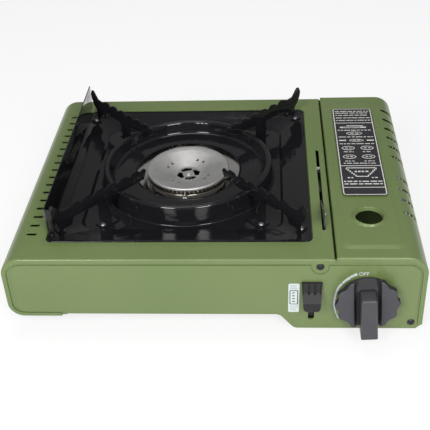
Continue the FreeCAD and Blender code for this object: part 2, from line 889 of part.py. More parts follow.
def rivet_places():
    """Each arm's two rivets: plan place and the height of the tray under them."""
    space = tray_space(0.0)
    places = []
    for index in range(len(arm_names)):
        for along, across in ((leg_inner + inner_rivet[0], inner_rivet[1]),
                              (support_outer - outer_rivet[0], outer_rivet[1])):
            line = Part.makeLine(Vector(along, across * arm_side(index), tray_underside),
                                 Vector(along, across * arm_side(index), tray_rim_z))
            line = arm_placed(line, index)
            bounds = line.common(space).BoundBox
            places.append((bounds.XMin, bounds.YMin, bounds.ZMin))
    return places


def support_outline():
    """One pan support seen from its side: distance from the burner's axis, and height."""
    points = [(support_inner + 3.0, support_low + 2.0), (support_inner, support_valley - 1.0),
              (support_inner + 1.2, support_valley + 1.5), (first_tooth - 2.5, support_valley + 1.5)]
    radii = [1.0, 1.5, 1.2, 1.0]
    for i in range(tooth_count):
        start = first_tooth + i * tooth_pitch
        points += [(start, support_valley), (start + tooth_pitch * 0.26, support_peak),
                   (start + tooth_pitch * 0.70, support_peak - tooth_height * 0.2),
                   (start + tooth_pitch * 0.88, support_valley)]
        radii += [0.9, 1.6, 2.0, 0.9]
    points += [(horn_foot, support_valley + 1.0), (support_outer - horn_width - 0.6, horn_top - 0.3),
               (support_outer - 2.2, horn_top), (support_outer, support_peak + 0.4),
               (support_outer - 0.9, support_valley - 1.5), (support_outer - 3.6, support_low + 3.4),
               (outer_leg + outer_leg_width, support_low - 1.0), (outer_leg + outer_leg_width, tray_floor_z),
               (outer_leg, tray_floor_z), (outer_leg - 0.6, top_z + skirt_height),
               (skirt_start + 2.2, top_z + skirt_height), (skirt_start, support_low),
               (leg_inner + leg_width, support_low), (leg_inner + leg_width, tray_floor_z),
               (leg_inner, tray_floor_z), (leg_inner, support_low)]
    radii += [2.5, 0.8, 1.0, 2.0, 3.0, 3.0, 2.0, 0.3, 0.3, 1.2, 1.5, 2.5, 2.0, 0.3, 0.3, 2.0]
    return points, radii


def make_support(index):
    """A pan support arm: serrated top, horn at its outer end, two feet bent over onto the tray."""
    points, radii = support_outline()
    half = support_sheet / 2
    side = arm_side(index)
    arm = plate(points, radii, "xz", -half, half)
    y0, y1 = sorted((0.0, inner_tab_width * side))
    inner = plate(rectangle(leg_inner, leg_inner + inner_tab_length, y0, y1), 2.0, "xy", tray_floor_z - 1,
                  top_z + 1)
    y0, y1 = sorted((0.0, -outer_tab_width * side))
    outer = plate(rectangle(support_outer - outer_tab_start, support_outer - outer_tab_end, y0, y1), 2.0, "xy",
                  tray_floor_z - 1, top_z + 1)
    feet = arm_placed(inner.fuse(outer), index).common(on_tray(support_sheet))
    above = box(tray_x - tray_width / 2, tray_x + tray_width / 2, fy(tray_front), fy(tray_front) + tray_depth,
                tray_rim_z, horn_top + 5)
    arm = arm_placed(arm, index).common(tray_space(0.0).fuse(above)).fuse(feet)
    holes = [cylinder(rivet_radius + fit_clearance, 8, (x, y, z - 4)) for x, y, z in rivet_places()]
    return arm.cut(Part.makeCompound(holes))


def make_tray_rivets():
    """Button-headed rivets that hold the arms' feet to the tray."""
    under = tray_space(tray_sheet)
    above_feet = tray_space(-support_sheet)
    rivets = []
    for x, y, z in rivet_places():
        top = z + support_sheet
        head = revolve([(0, top - 1.0), (rivet_head_radius, top - 1.0), (rivet_head_radius, top + 0.3),
                        (rivet_head_radius * 0.6, top + rivet_head_height), (0, top + rivet_head_height)],
                       [0, 0, 0.5, 1.0, 0], x, y).common(above_feet)
        tail_top = z - tray_sheet
        tail = cylinder(rivet_head_radius * 0.8, 2.0, (x, y, tail_top - 1.3)).cut(under)
        shank = cylinder(rivet_radius, support_sheet + tray_sheet + 1.0, (x, y, tail_top - 0.6))
        rivet = shank.fuse(head).fuse(tail)
        rivets.append(max(rivet.Solids, key=lambda solid: solid.Volume))
    return Part.makeCompound(rivets)


def make_wind_guard():
    """Upright enamelled plate along the tray's left side, curled round at its front end."""
    x = tray_x - tray_width / 2 + guard_inset
    base = tray_rim_z - guard_inset * upper_fold_depth / (tray_width / 2 - upper_fold)
    start = fy(guard_front) + guard_curl
    wall = box(x, x + guard_sheet, start, fy(guard_rear), base, guard_top)
    wall = wall.cut(box(x - 1, x + 2, fy(tray_front) + tray_depth - guard_rear_notch, fy(guard_rear) + 1,
                        base - 1, top_z + guard_rear_notch))
    curl_path = [(x, start), (x, fy(guard_front)), (x + guard_curl + clearance, fy(guard_front))]
    curl = bent_sheet(curl_path, [0, guard_curl, 0], guard_sheet, "xy", tray_rim_z + seat_gap, guard_top)
    flange = box(x, x + guard_flange, fy(guard_flange_front), fy(guard_flange_rear), tray_floor_z, top_z)
    return wall.fuse(curl).fuse(flange.common(on_tray(guard_sheet)))


def make_burner_bowl():
    """The burner's bowl and its neck, with a bead under the port ring."""
    outer = [(0, neck_low), (neck_radius, neck_low), (neck_radius, bowl_low + bowl_wall),
             (bowl_waist_radius, bowl_low + bowl_waist_height), (bowl_top_radius, bowl_top), (0, bowl_top)]
    lift = bowl_wall * 0.8
    inner = [(0, neck_low - 1), (neck_radius - bowl_wall, neck_low - 1),
             (neck_radius - bowl_wall, bowl_low + bowl_wall + lift),
             (bowl_waist_radius - bowl_wall, bowl_low + bowl_waist_height + lift),
             (bowl_top_radius - bowl_wall, bowl_top + 1), (0, bowl_top + 1)]
    bowl = revolve(outer, [0, 0, 4.0, 5.0, 0, 0], tray_x, centre_y)
    bead = revolve([(bowl_top_radius - bowl_wall, bowl_top - bowl_bead_height),
                    (bowl_top_radius + bowl_bead, bowl_top - bowl_bead_height),
                    (bowl_top_radius + bowl_bead, bowl_top), (bowl_top_radius - bowl_wall, bowl_top)],
                   [0, 0.5, 0.5, 0], tray_x, centre_y)
    return bowl.fuse(bead).cut(revolve(inner, [0, 0, 4.0, 4.0, 0, 0], tray_x, centre_y))


def make_port_ring():
    """The ring of flame ports under the cap's rim."""
    radius = bowl_top_radius + port_ring_proud
    ring = cylinder(radius, port_ring_height, (tray_x, centre_y, bowl_top))
    ring = ring.cut(cylinder(radius - port_ring_wall, port_ring_height + 2, (tray_x, centre_y, bowl_top - 1)))
    cutters = []
    for i in range(port_count):
        port = box(radius - port_depth, radius + 1.0, -port_width / 2, port_width / 2, bowl_top + port_sill,
                   port_ring_top + 0.5)
        port.rotate(Vector(0, 0, 0), Vector(0, 0, 1), 360.0 * i / port_count)
        port.translate(Vector(tray_x, centre_y, 0))
        cutters.append(port)
    return ring.cut(Part.makeCompound(cutters))


def kidney_hole(radius_at, z):
    """A bean-shaped cutter: one large round between two smaller ones."""
    hole = cylinder(cap_hole_half, cap_dish_depth, (radius_at, 0, z))
    for side in (-1, 1):
        end = (radius_at - cap_hole_bend, cap_hole_spread * side, z)
        hole = hole.fuse(cylinder(cap_hole_end, cap_dish_depth, end))
    return hole


def make_burner_cap():
    """The pressed cap: rounded rim, dished middle with four kidney holes, and pairs of small ports."""
    dish = cap_rim_z - cap_dish_rim_fall - cap_dish_depth
    profile = [(cap_radius, port_ring_top), (cap_radius, cap_rim_z), (cap_radius - cap_rim_flat, cap_rim_z - cap_rim_fall),
               (cap_radius - cap_dish_inset, cap_rim_z - cap_dish_rim_fall), (cap_floor_radius, dish), (0.0, dish)]
    cap = turned(bent_face(profile, [0, 1.8, 2.0, 8.0, 6.0, 0], cap_sheet, "xz"), 0, 0)
    rivet = [(0, dish - cap_sheet), (cap_rivet_radius, dish - cap_sheet), (cap_rivet_radius, dish + cap_sheet),
             (0, dish + cap_sheet + cap_rivet_dome)]
    cap = cap.fuse(revolve(rivet, 0, 0, 0))
    cutters = []
    for i in range(cap_hole_count):
        step = 360.0 / cap_hole_count * i
        hole = kidney_hole(cap_hole_place, dish - cap_dish_depth / 2)
        hole.rotate(Vector(0, 0, 0), Vector(0, 0, 1), cap_hole_turn + step)
        cutters.append(hole)
        for side in (-1, 1):
            port = cylinder(cap_port_radius, cap_dish_depth, (cap_port_place, 0, dish - cap_sheet))
            port.rotate(Vector(0, 0, 0), Vector(0, 0, 1), cap_port_turn + cap_port_spread * side + step)
            cutters.append(port)
    cap = cap.cut(Part.makeCompound(cutters))
    cap.translate(Vector(tray_x, centre_y, 0))
    return cap


def electrode_place():
    return tray_x, centre_y - electrode_reach


def make_reflector():
    """Bright dished plate round the burner bowl, seen through the tray's hole."""
    top = tray_floor_z + basin_height - tray_sheet - reflector_below_basin
    low = top - reflector_drop
    inner = bowl_radius_at(low) + clearance
    path = [(reflector_outer + reflector_lip, top), (reflector_outer, top), (inner + reflector_flat, low),
            (inner, low)]
    dish = turned(bent_face(path, [0, 1.5, 2.0, 0], reflector_sheet, "xz"), tray_x, centre_y)
    x, y = electrode_place()
    return dish.cut(cylinder(electrode_radius + clearance, 30, (x, y, low - 15)))


def make_electrode_insulator():
    """White ceramic post in front of the burner."""
    x, y = electrode_place()
    r = electrode_radius
    low = electrode_top - electrode_length
    collar = low + electrode_length * 0.3
    return revolve([(0, low), (r, low), (r, collar), (r + 1.0, collar), (r + 1.0, collar + 2.5), (r, collar + 2.5),
                    (r, electrode_top - 1.0), (r * 0.6, electrode_top), (0, electrode_top)],
                   [0, 0.3, 0, 0.3, 0.3, 0, 0.5, 0.3, 0], x, y)


def make_spark_wire():
    """Spark wire out of the ceramic, bent over to the ports."""
    x, y = electrode_place()
    r = spark_wire_radius
    top = electrode_top + spark_wire_rise
    stem = cylinder(r, spark_wire_rise, (x, y, electrode_top))
    elbow = Part.makeSphere(r, Vector(x, y, top))
    arm = cylinder(r, electrode_reach - cap_radius - spark_gap, (x, y, top), (0, 1, 0))
    return stem.fuse(elbow).fuse(arm)


def make_mixing_tube():
    """The mixing tube from the jet to the burner's neck: air collar at its mouth, elbow under the neck."""
    ux, uy, _ = gas_direction()
    collar_start = tube_length - tube_collar_length
    outer = cylinder(tube_radius, tube_length, (0, 0, 0), (1, 0, 0))
    outer = outer.fuse(cylinder(tube_radius + tube_collar_proud, tube_collar_length, (collar_start, 0, 0), (1, 0, 0)))
    outer = outer.fuse(Part.makeSphere(neck_radius, Vector(0, 0, 0)))
    outer = outer.fuse(cylinder(neck_radius, neck_low - tube_z, (0, 0, 0)))
    inner = cylinder(tube_radius - tube_wall, tube_length + 2.0, (0, 0, 0), (1, 0, 0))
    inner = inner.fuse(Part.makeSphere(neck_radius - bowl_wall, Vector(0, 0, 0)))
    inner = inner.fuse(cylinder(neck_radius - bowl_wall, neck_radius + 2.0, (0, 0, 0)))
    reach = tube_radius + 2 * tube_collar_proud
    air_start = collar_start + (tube_collar_length - air_slot_length) / 2
    air = box(air_start, air_start + air_slot_length, -reach, reach, -air_slot_height / 2, air_slot_height / 2)
    tube = outer.cut(inner).cut(air)
    tube.rotate(Vector(0, 0, 0), Vector(0, 0, 1), math.degrees(math.atan2(uy, ux)))
    tube.translate(Vector(tray_x, centre_y, tube_z))
    return tube


def make_burner_strap():
    """Two-legged strap from the casing floor to the elbow under the burner."""
    high = tube_z - neck_radius - strap_sheet
    path = [(tray_x - strap_half, burner_floor), (tray_x - strap_leg, burner_floor),
            (tray_x - strap_leg + strap_slope, high), (tray_x + strap_leg - strap_slope, high),
            (tray_x + strap_leg, burner_floor), (tray_x + strap_half, burner_floor)]
    return bent_sheet(path, [0, 3.0, 3.0, 3.0, 3.0, 0], strap_sheet, "xz", centre_y - strap_width / 2,
                      centre_y + strap_width / 2)


def make_regulator_body():
    """Die-cast pressure regulator: the valve barrel behind the knob, diaphragm drum and outlet boss."""
    ux, uy, length = gas_direction()
    y0 = fy(regulator_front)
    y1 = fy(regulator_rear)
    back = (0, 1, 0)
    body = cylinder(barrel_radius, y1 - y0, (knob_x, y0, knob_z), back)
    body = body.fuse(cylinder(valve_flange_radius, valve_flange_height, (knob_x, y0, knob_z), back))
    body = body.fuse(cylinder(drum_radius, drum_length, (cartridge_x, y1 - drum_length, cartridge_z), back))
    bead_y = y1 - (drum_length + drum_bead_width) / 2
    body = body.fuse(cylinder(drum_radius + drum_bead, drum_bead_width, (cartridge_x, bead_y, cartridge_z), back))
    body = body.fuse(cylinder(outlet_radius, length - jet_end, along_gas(jet_end), (ux, uy, 0)))
    return body.cut(cylinder(spindle_radius + fit_clearance, spindle_depth + 4.0, (knob_x, y0 - 1.0, knob_z), back))


def make_regulator_socket():
    """The cartridge's seat: a collar ring with a centring cone."""
    y1 = fy(regulator_rear)
    back = Vector(0, 1, 0)
    ring = cylinder(socket_radius, socket_depth, (cartridge_x, y1, cartridge_z), back)
    ring = ring.cut(cylinder(socket_radius - socket_wall, socket_depth, (cartridge_x, y1 + socket_floor, cartridge_z),
                             back))
    cone = Part.makeCone(8.0, 4.0, socket_depth - socket_floor, Vector(cartridge_x, y1 + socket_floor, cartridge_z),
                         back)
    return ring.fuse(cone).cut(cylinder(1.6, socket_depth, (cartridge_x, y1 + 1.0, cartridge_z), back))


def make_gas_jet():
    """Brass jet with its hexagon, from the regulator's outlet into the mixing tube's mouth."""
    ux, uy, _ = gas_direction()
    jet = cylinder(jet_radius, jet_end - jet_start, (jet_start, 0, 0), (1, 0, 0))
    corners = [(jet_nut * math.cos(math.radians(60 * i)), jet_nut * math.sin(math.radians(60 * i)))
               for i in range(6)]
    jet = jet.fuse(plate(corners, 0, "yz", jet_end - jet_nut_length, jet_end))
    jet = jet.cut(cylinder(jet_bore, jet_end - jet_start + 2.0, (jet_start - 1.0, 0, 0), (1, 0, 0)))
    jet.rotate(Vector(0, 0, 0), Vector(0, 0, 1), math.degrees(math.atan2(uy, ux)))
    jet.translate(Vector(tray_x, centre_y, tube_z))
    return jet


def make_regulator_bracket():
    """Bracket that carries the valve barrel and the igniter on the bay floor."""
    y0 = fy(regulator_front + regulator_plate)
    left = knob_x - regulator_plate_half
    right = knob_x + regulator_plate_half
    ear_left = igniter_x - igniter_radius - 3.0
    ear_top = igniter_z + igniter_radius + 3.0
    outline = [(left, bay_floor), (right, bay_floor), (right, knob_z + regulator_plate_above),
               (igniter_x + igniter_radius + 4.0, knob_z + regulator_plate_above),
               (igniter_x + igniter_radius + 3.0, ear_top), (ear_left, ear_top),
               (ear_left, igniter_z - igniter_radius - 3.0), (left, igniter_z - igniter_radius - 12.0)]
    upright = plate(outline, [0, 0, 4.0, 2.0, 4.0, 4.0, 4.0, 4.0], "xz", y0, y0 + strap_sheet)
    foot = box(left, right, y0, y0 + regulator_foot, bay_floor, bay_floor + strap_sheet)
    bracket = upright.fuse(foot).cut(through_hole(knob_x, knob_z, barrel_radius + fit_clearance, y0))
    return bracket.cut(through_hole(igniter_x, igniter_z, igniter_radius + fit_clearance, y0))


def make_cartridge_guide():
    """Arched plate across the bay round the cartridge's collar, with its locating tab."""
    y0 = fy(guide_y)
    right = right_x - panel_reach - bay_upturn_inset - 2 * sheet - clearance
    outline = [(guide_edge, bay_floor), (right, bay_floor), (right, cartridge_z - guide_side_drop),
               (cartridge_x, cartridge_z - guide_side_drop), (cartridge_x, cartridge_z + guide_side_rise),
               (guide_edge, cartridge_z + guide_side_rise)]
    wall = plate(outline, [0, 0, 3.0, 0, 0, 4.0], "xz", y0, y0 + strap_sheet)
    wall = wall.cut(through_hole(cartridge_x, cartridge_z, guide_arch, y0))
    foot = box(guide_edge + 3.0, right, y0, y0 + guide_foot, bay_floor, bay_floor + strap_sheet)
    tab_low = cartridge_z - guide_arch - 1.0
    tab = box(cartridge_x - guide_tab_width / 2, cartridge_x + guide_tab_width / 2, y0, y0 + strap_sheet, tab_low,
              tab_low + guide_tab_height)
    return wall.fuse(foot).fuse(tab)


def make_piezo_igniter():
    """Piezo igniter beside the valve, with the lead's terminal on its left."""
    y0 = fy(igniter_front)
    body = cylinder(igniter_radius, igniter_length - igniter_nose_length, (igniter_x, y0 + igniter_nose_length, igniter_z),
                    (0, 1, 0))
    nose = cylinder(igniter_nose_radius, igniter_nose_length, (igniter_x, y0, igniter_z), (0, 1, 0))
    terminal = cylinder(igniter_terminal_radius, igniter_radius + 1.0, (igniter_x, fy(igniter_terminal_y), igniter_z),
                        (-1, 0, 0))
    return body.fuse(nose).fuse(terminal)


def lead_route():
    """The igniter lead's points, from the electrode's foot to the igniter's terminal."""
    x, y = electrode_place()
    low = electrode_top - electrode_length
    end = igniter_x - igniter_radius - 1.0
    points = [Vector(x, y, low), Vector(x, y, low - lead_drop)]
    points += [Vector(x + (end - x) * share, fy(place), height) for share, place, height in lead_bends]
    points += [Vector(end - lead_straight, fy(igniter_terminal_y), igniter_z),
               Vector(end, fy(igniter_terminal_y), igniter_z)]
    return points


def make_igniter_lead():
    """A round lead along straight runs joined by tangent arcs."""
    points = lead_route()
    edges = []
    last = points[0]
    for before, point, after in zip(points, points[1:], points[2:]):
        a = (before - point).normalize()
        b = (after - point).normalize()
        half = a.getAngle(b) / 2
        cut = 0.45 * min(point.distanceToPoint(before), point.distanceToPoint(after))
        radius = cut * math.tan(half)
        middle = point + (a + b).normalize() * (radius / math.sin(half) - radius)
        edges.append(Part.LineSegment(last, point + a * cut).toShape())
        edges.append(Part.Arc(point + a * cut, middle, point + b * cut).toShape())
        last = point + b * cut
        print("lead bend radius %.1f" % radius)
    edges.append(Part.LineSegment(last, points[-1]).toShape())
    wire = Part.Wire(edges)
    circle = Part.Wire(Part.makeCircle(lead_radius, points[0], points[1] - points[0]))
    lead = wire.makePipeShell([circle], True, False)
    print("lead length %.0f, volume against section times length %.4f"
          % (wire.Length, lead.Volume / (math.pi * lead_radius ** 2 * wire.Length)))
    return lead


def make_control_knob():
    """Scalloped rim on a round barrel, a full-height channel, and a grip bar standing in the channel."""
    outline = []
    for i in range(2 * knob_lobes):
        angle = math.pi * i / knob_lobes
        radius = knob_radius + (lobe_crest if i % 2 == 0 else lobe_root)
        outline.append((knob_x + radius * math.sin(angle), knob_z + radius * math.cos(angle)))
    rim = plate(outline, lobe_round, "xz", knob_face, knob_rim)
    face_edges = [edge for edge in rim.Edges if edge.BoundBox.YMax < knob_face + 1e-6]
    rim = rim.makeFillet(knob_face_round, face_edges)
    knob = rim.fuse(cylinder(knob_barrel_radius, knob_barrel_depth, (knob_x, knob_back, knob_z), (0, -1, 0)))
    half = knob_channel / 2
    floor = knob_face + knob_channel_depth
    flare = knob_channel_slope * (knob_channel_depth + 1.0) / knob_channel_depth
    groove = [(knob_x - half, floor), (knob_x + half, floor), (knob_x + half + flare, knob_face - 1.0),
              (knob_x - half - flare, knob_face - 1.0)]
    reach = knob_radius + 2 * lobe_crest
    knob = knob.cut(plate(groove, [0.8, 0.8, 0, 0], "xy", knob_z - reach, knob_z + reach))
    scoop = [(floor - 1.0, knob_z + scoop_start), (floor, knob_z + scoop_start),
             (knob_back - knob_skin, knob_z + scoop_end), (knob_back - knob_skin, knob_z + reach),
             (floor - 1.0, knob_z + reach)]
    knob = knob.cut(plate(scoop, 0, "yz", knob_x - half, knob_x + half))
    top = knob_z + bar_up
    low = knob_z - bar_down
    root = knob_back - knob_skin
    side = [(root, top - bar_rear_drop), (knob_front, top), (knob_front, low), (knob_face, low),
            (root, knob_z - knob_barrel_radius * 0.9)]
    front = [(knob_x - bar_width / 2, top + 1), (knob_x + bar_width / 2, top + 1),
             (knob_x + bar_width / 2 + bar_flare, low - 1), (knob_x - bar_width / 2 - bar_flare, low - 1)]
    bar = plate(side, [0, bar_nose, 1.5, 2.0, 0], "yz", knob_x - bar_width, knob_x + bar_width)
    bar = bar.common(plate(front, 0, "xz", knob_front - 1, knob_back + 1))
    bar_edges = [edge for edge in bar.Edges
                 if edge.BoundBox.YMax < knob_front + 1e-6 and edge.BoundBox.ZLength > bar_up]
    bar = bar.makeFillet(knob_face_round, bar_edges)
    socket = cylinder(spindle_radius, spindle_seat + 1.0, (knob_x, knob_back + 0.5, knob_z), (0, -1, 0))
    knob = knob.fuse(bar).cut(socket)
    knob.rotate(Vector(knob_x, 0, knob_z), Vector(0, -1, 0), knob_turned)
    return knob


def make_valve_spindle():
    """The valve spindle, seated in the knob and turning in the regulator, with the igniter's cam on it."""
    start = knob_back + 0.5 - spindle_seat
    spindle = cylinder(spindle_radius, fy(regulator_front) + spindle_depth - start, (knob_x, start, knob_z), (0, 1, 0))
    cam = cylinder(cam_radius, cam_width, (knob_x, fy(cam_front), knob_z), (0, 1, 0))
    lobe = plate([(knob_x - cam_radius, knob_z), (knob_x, knob_z - cam_radius),
                  (knob_x - cam_lobe * 0.55, knob_z - cam_lobe * 0.95), (knob_x - cam_lobe * 0.95, knob_z - cam_lobe * 0.55)],
                 [0, 0, 1.5, 1.5], "xz", fy(cam_front), fy(cam_front) + cam_width)
    return spindle.fuse(cam).fuse(lobe)


def make_lock_lever():
    """The lever's moulded cap on the front: a ribbed thumb scoop over a rounded ledge, and its stem."""
    y0 = pad_y - clearance
    front = y0 - lever_reach
    scoop_y = y0 - lever_scoop_reach
    top_y = y0 - lever_top_reach
    side = [(y0, lever_low - 1.0), (front, lever_low - 0.5), (front, lever_ledge), (scoop_y, lever_scoop),
            (top_y, lever_high), (y0, lever_high)]
    half = lever_width / 2
    cap = plate(side, [0, 2.5, 0.8, 4.0, 0.8, 0], "yz", lever_x - half, lever_x + half)
    low_half = lever_foot_width / 2
    ledge_half = lever_ledge_width / 2
    face = plate([(lever_x - low_half, lever_low), (lever_x + low_half, lever_low),
                  (lever_x + ledge_half, lever_ledge), (lever_x + half, lever_high + 1.0),
                  (lever_x - half, lever_high + 1.0), (lever_x - ledge_half, lever_ledge)],
                 [5.5, 5.5, 3.0, 0, 0, 3.0], "xz", front - 2.0, y0 + 2.0)
    cap = cap.common(face)
    grooves = []
    for i in range(lever_groove_count):
        x = lever_x + (i - (lever_groove_count - 1) / 2) * lever_groove_pitch
        grooves.append(cylinder(lever_groove_radius, lever_high - lever_ledge, (x, scoop_y - 0.2, lever_scoop - 1.0),
                                (0, top_y - scoop_y, lever_high - lever_scoop)))
    cap = cap.cut(Part.makeCompound(grooves))
    stem_half = lever_slot_width / 2 - lever_stem_play
    stem = box(lever_x - stem_half, lever_x + stem_half, y0 - 1.0, panel_back + clearance + lock_plate_sheet,
               lever_stem_low, lever_stem_low + lever_stem_height)
    return cap.fuse(stem)


def make_lock_plate():
    """The sliding plate behind the panel, carried on the lever's stem."""
    y0 = panel_back + clearance
    y1 = y0 + lock_plate_sheet
    top = lever_stem_low + lever_stem_height
    slide = plate(rectangle(lever_x - lock_plate_half, lever_x + lock_plate_half, lever_stem_low - lock_plate_below,
                            top + lock_plate_above), 1.5, "xz", y0, y1)
    stem_half = lever_slot_width / 2 - lever_stem_play
    return slide.cut(box(lever_x - stem_half, lever_x + stem_half, y0 - 1, y1 + 1, lever_stem_low, top))


def make_lock_guide():
    """Channel on the panel's back that the lock plate slides in."""
    low = lever_stem_low - lock_plate_below - lever_travel - lock_guide_margin
    high = lever_stem_low + lever_stem_height + lock_plate_above + lock_guide_margin
    inner = lock_plate_half + clearance
    outer = inner + lock_guide_wall
    depth = lock_plate_sheet + 2 * clearance
    guide = box(lever_x - outer, lever_x + outer, panel_back, panel_back + depth + lock_guide_sheet, low, high)
    guide = guide.cut(box(lever_x - inner, lever_x + inner, panel_back - 1, panel_back + depth, low - 1, high + 1))
    return guide.cut(box(lever_x - inner * 0.6, lever_x + inner * 0.6, panel_back - 1, panel_back + 8, low + 6, high - 6))


def make_cartridge_fork():
    """Slide along the partition with a fork that draws the cartridge's collar up to the regulator."""
    x0 = partition_x + sheet + clearance
    y0 = fy(fork_y)
    slide = plate(rectangle(fy(fork_slide_front), y0 + strap_sheet, fork_slide_low, fork_slide_high), 2.0, "yz", x0,
                  x0 + strap_sheet)
    arm = plate([(x0, fork_slide_low), (fork_reach, fork_slide_low + 4.0), (fork_reach, fork_high), (x0 + 8.0, fork_high),
                 (x0, fork_low)], [0, 4.0, 4.0, 6.0, 0], "xz", y0, y0 + strap_sheet)
    arm = arm.cut(through_hole(cartridge_x, cartridge_z, fork_arch, y0))
    return slide.fuse(max(arm.Solids, key=lambda solid: solid.Volume))


def blade_x_at(distance):
    """The blade's middle plane stands a little askew in its slot."""
    return blade_slot_x - (distance - blade_skew_centre) * math.tan(math.radians(blade_skew))


def make_interlock_blade():
    """Thin steel blade that stands out of the slot beside the tray while the lever is up."""
    front = fy(blade_front)
    pivot_y = fy(blade_pivot)
    deck_end = fy(blade_front + blade_run)
    points = [(front, top_z - blade_tail), (front, top_z + blade_rise), (deck_end, top_z - 0.6),
              (deck_end + blade_sink_run, top_z - blade_sink), (pivot_y, blade_pivot_z + blade_boss),
              (pivot_y + blade_boss + 1.0, blade_pivot_z), (pivot_y, blade_pivot_z - blade_boss)]
    radii = [2.0, 1.0, 4.0, 6.0, 5.0, 4.0, 5.0]
    half = blade_sheet / 2
    blade = plate(points, radii, "yz", blade_slot_x - half, blade_slot_x + half)
    blade.rotate(Vector(blade_slot_x, fy(blade_skew_centre), 0), Vector(0, 0, 1), blade_skew)
    return blade.cut(cylinder(blade_pin_radius + fit_clearance, 10.0,
                              (blade_x_at(blade_pivot) - 5.0, pivot_y, blade_pivot_z), (1, 0, 0)))


def make_blade_pin():
    """Shouldered pivot pin from the partition through the blade, with its riveted head."""
    gap = 0.25
    y = fy(blade_pivot)
    half = blade_sheet / 2
    x0 = blade_x_at(blade_pivot) - half - gap
    x1 = blade_x_at(blade_pivot) + half + gap
    pin = cylinder(blade_pin_radius, partition_x - x0, (x0, y, blade_pivot_z), (1, 0, 0))
    pin = pin.fuse(cylinder(blade_pin_head, 0.8, (x0 - 0.8, y, blade_pivot_z), (1, 0, 0)))
    return pin.fuse(cylinder(blade_pin_head, partition_x - x1, (x1, y, blade_pivot_z), (1, 0, 0)))


def pressed_pad():
    """The lid's raised pad with sloping sides, and the hollow under it."""
    pads = []
    for inset, drop in ((0.0, 0.0), (sheet, sheet)):
        low = lid_z - drop
        bottom = rectangle(pad_left + inset, pad_right - inset, fy(pad_front) + inset, fy(pad_rear) - inset)
        ramp = inset + pad_ramp
        upper = rectangle(pad_left + ramp, pad_right - ramp, fy(pad_front) + ramp, fy(pad_rear) - ramp)
        pads.append(Part.makeLoft([rounded_wire(bottom, pad_corner, "xy", low),
                                   rounded_wire(upper, pad_corner, "xy", low + pad_rise)], True, True))
    return pads


def make_hinge_ear(y):
    """One of the lid's two hinge ears, round its pin hole and running up inside the right wall."""
    r = ear_radius
    wall = right_x - sheet / 2
    outline = [(hinge_x - r, hinge_z - r), (hinge_x + r, hinge_z - r), (wall, hinge_z + lid_wall_above_hinge + 1.0),
               (wall, hinge_z + ear_height), (hinge_x - r, hinge_z + 2 * r)]
    ear = plate(outline, [2.9, 2.0, 0, 0, 2.0], "xz", y, y + ear_sheet)
    return ear.cut(through_hole(hinge_x, hinge_z, hinge_pin_radius + fit_clearance, y))


def make_cartridge_lid():
    """The bay's lid: top, right shoulder and right wall in one bent sheet, with hinge ears."""
    left = bay_split + lid_gap / 2
    path = [(right_x, hinge_z + lid_wall_above_hinge), (right_x, lid_z), (left, lid_z), (left, lid_z - lid_skirt)]
    lid = rimmed_sheet(path, [0, shoulder_radius, split_fold, 0], 0, 3, (right_x, 0.0), (left - rim_width, 0.0),
                       (left - rim_width, lid_z))
    lid = lid.cut(skirt_ends(left, left + 2 * sheet, lid_z - lid_skirt, lid_z))
    raised, hollow = pressed_pad()
    lid = lid.fuse(raised).cut(hollow)
    x = window_x
    y = fy(window_y)
    top = lid_z + pad_rise
    rise = top + window_rim_height
    lid = lid.cut(cylinder(window_rim_radius, 12.0, (x, y, lid_z - 6.0)))
    section = bent_face([(window_rim_radius + 0.4, top), (window_rim_radius - 0.6, top),
                         (window_radius + 2.0, rise), (window_radius + 1.0, rise), (window_radius, top - 1.5)],
                        [0, 0.8, 0.8, 0.8, 0], sheet, "xz")
    lid = lid.fuse(turned(section, x, y))
    half = lid_vent_width / 2
    start = right_x - lid_vent_reach
    cutters = []
    for distance in lid_vents:
        plan = plate(rectangle(start, right_x + 2, fy(distance) - half, fy(distance) + half),
                     [half * 0.95, 0, 0, half * 0.95], "xy", lid_z - 2 * lid_vent_drop, lid_z + 2)
        end = plate(rectangle(fy(distance) - half, fy(distance) + half, lid_z - lid_vent_drop, lid_z + 2),
                    [half * 0.95, half * 0.95, 0, 0], "yz", start - 1, right_x + 2)
        cutters.append(plan.common(end))
    lid = lid.cut(Part.makeCompound(cutters))
    for y in (fy(ear_setback), back_y - ear_setback - ear_sheet):
        lid = lid.fuse(make_hinge_ear(y))
    return lid


def make_lid_hinge_pin():
    return cylinder(hinge_pin_radius, rear_panel_front - panel_back, (hinge_x, panel_back, hinge_z), (0, 1, 0))


def make_lid_catch():
    """Small bowed spring on the casing's skirt that the lid's skirt snaps past."""
    x = bay_split - lid_gap / 2 + catch_sheet
    low = top_z - top_skirt + 0.5
    path = [(x, low), (x, low + 1.0), (x + catch_rise, low + 3.0), (x, low + 5.0), (x, low + 6.0)]
    return bent_sheet(path, [0, 1.2, 1.2, 1.2, 0], catch_sheet, "xz", fy(catch_y), fy(catch_y) + catch_length)


def screw(x, y, z, inward):
    """A cross-head panel screw: tapered head with its recess, and the shank behind."""
    head = Part.makeCone(screw_head_radius, screw_head_radius * 0.75, screw_head_height, Vector(x, y, z),
                         Vector(0, -inward, 0))
    body = head.fuse(cylinder(screw_radius, screw_length, (x, y - 0.2 * inward, z), (0, inward, 0)))
    face = y - inward * screw_head_height
    for long_x, long_z in ((0.35, 1.5), (1.5, 0.35)):
        body = body.cut(box(x - long_x, x + long_x, face - 0.6, face + 0.6, z - long_z, z + long_z))
    return body


def make_panel_screws():
    front = [screw(x, panel_y, z, 1.0) for x, z in front_screws()]
    rear = [screw(x, rear_panel_y, z, -1.0) for x, z in rear_screws()]
    return Part.makeCompound(front + rear)


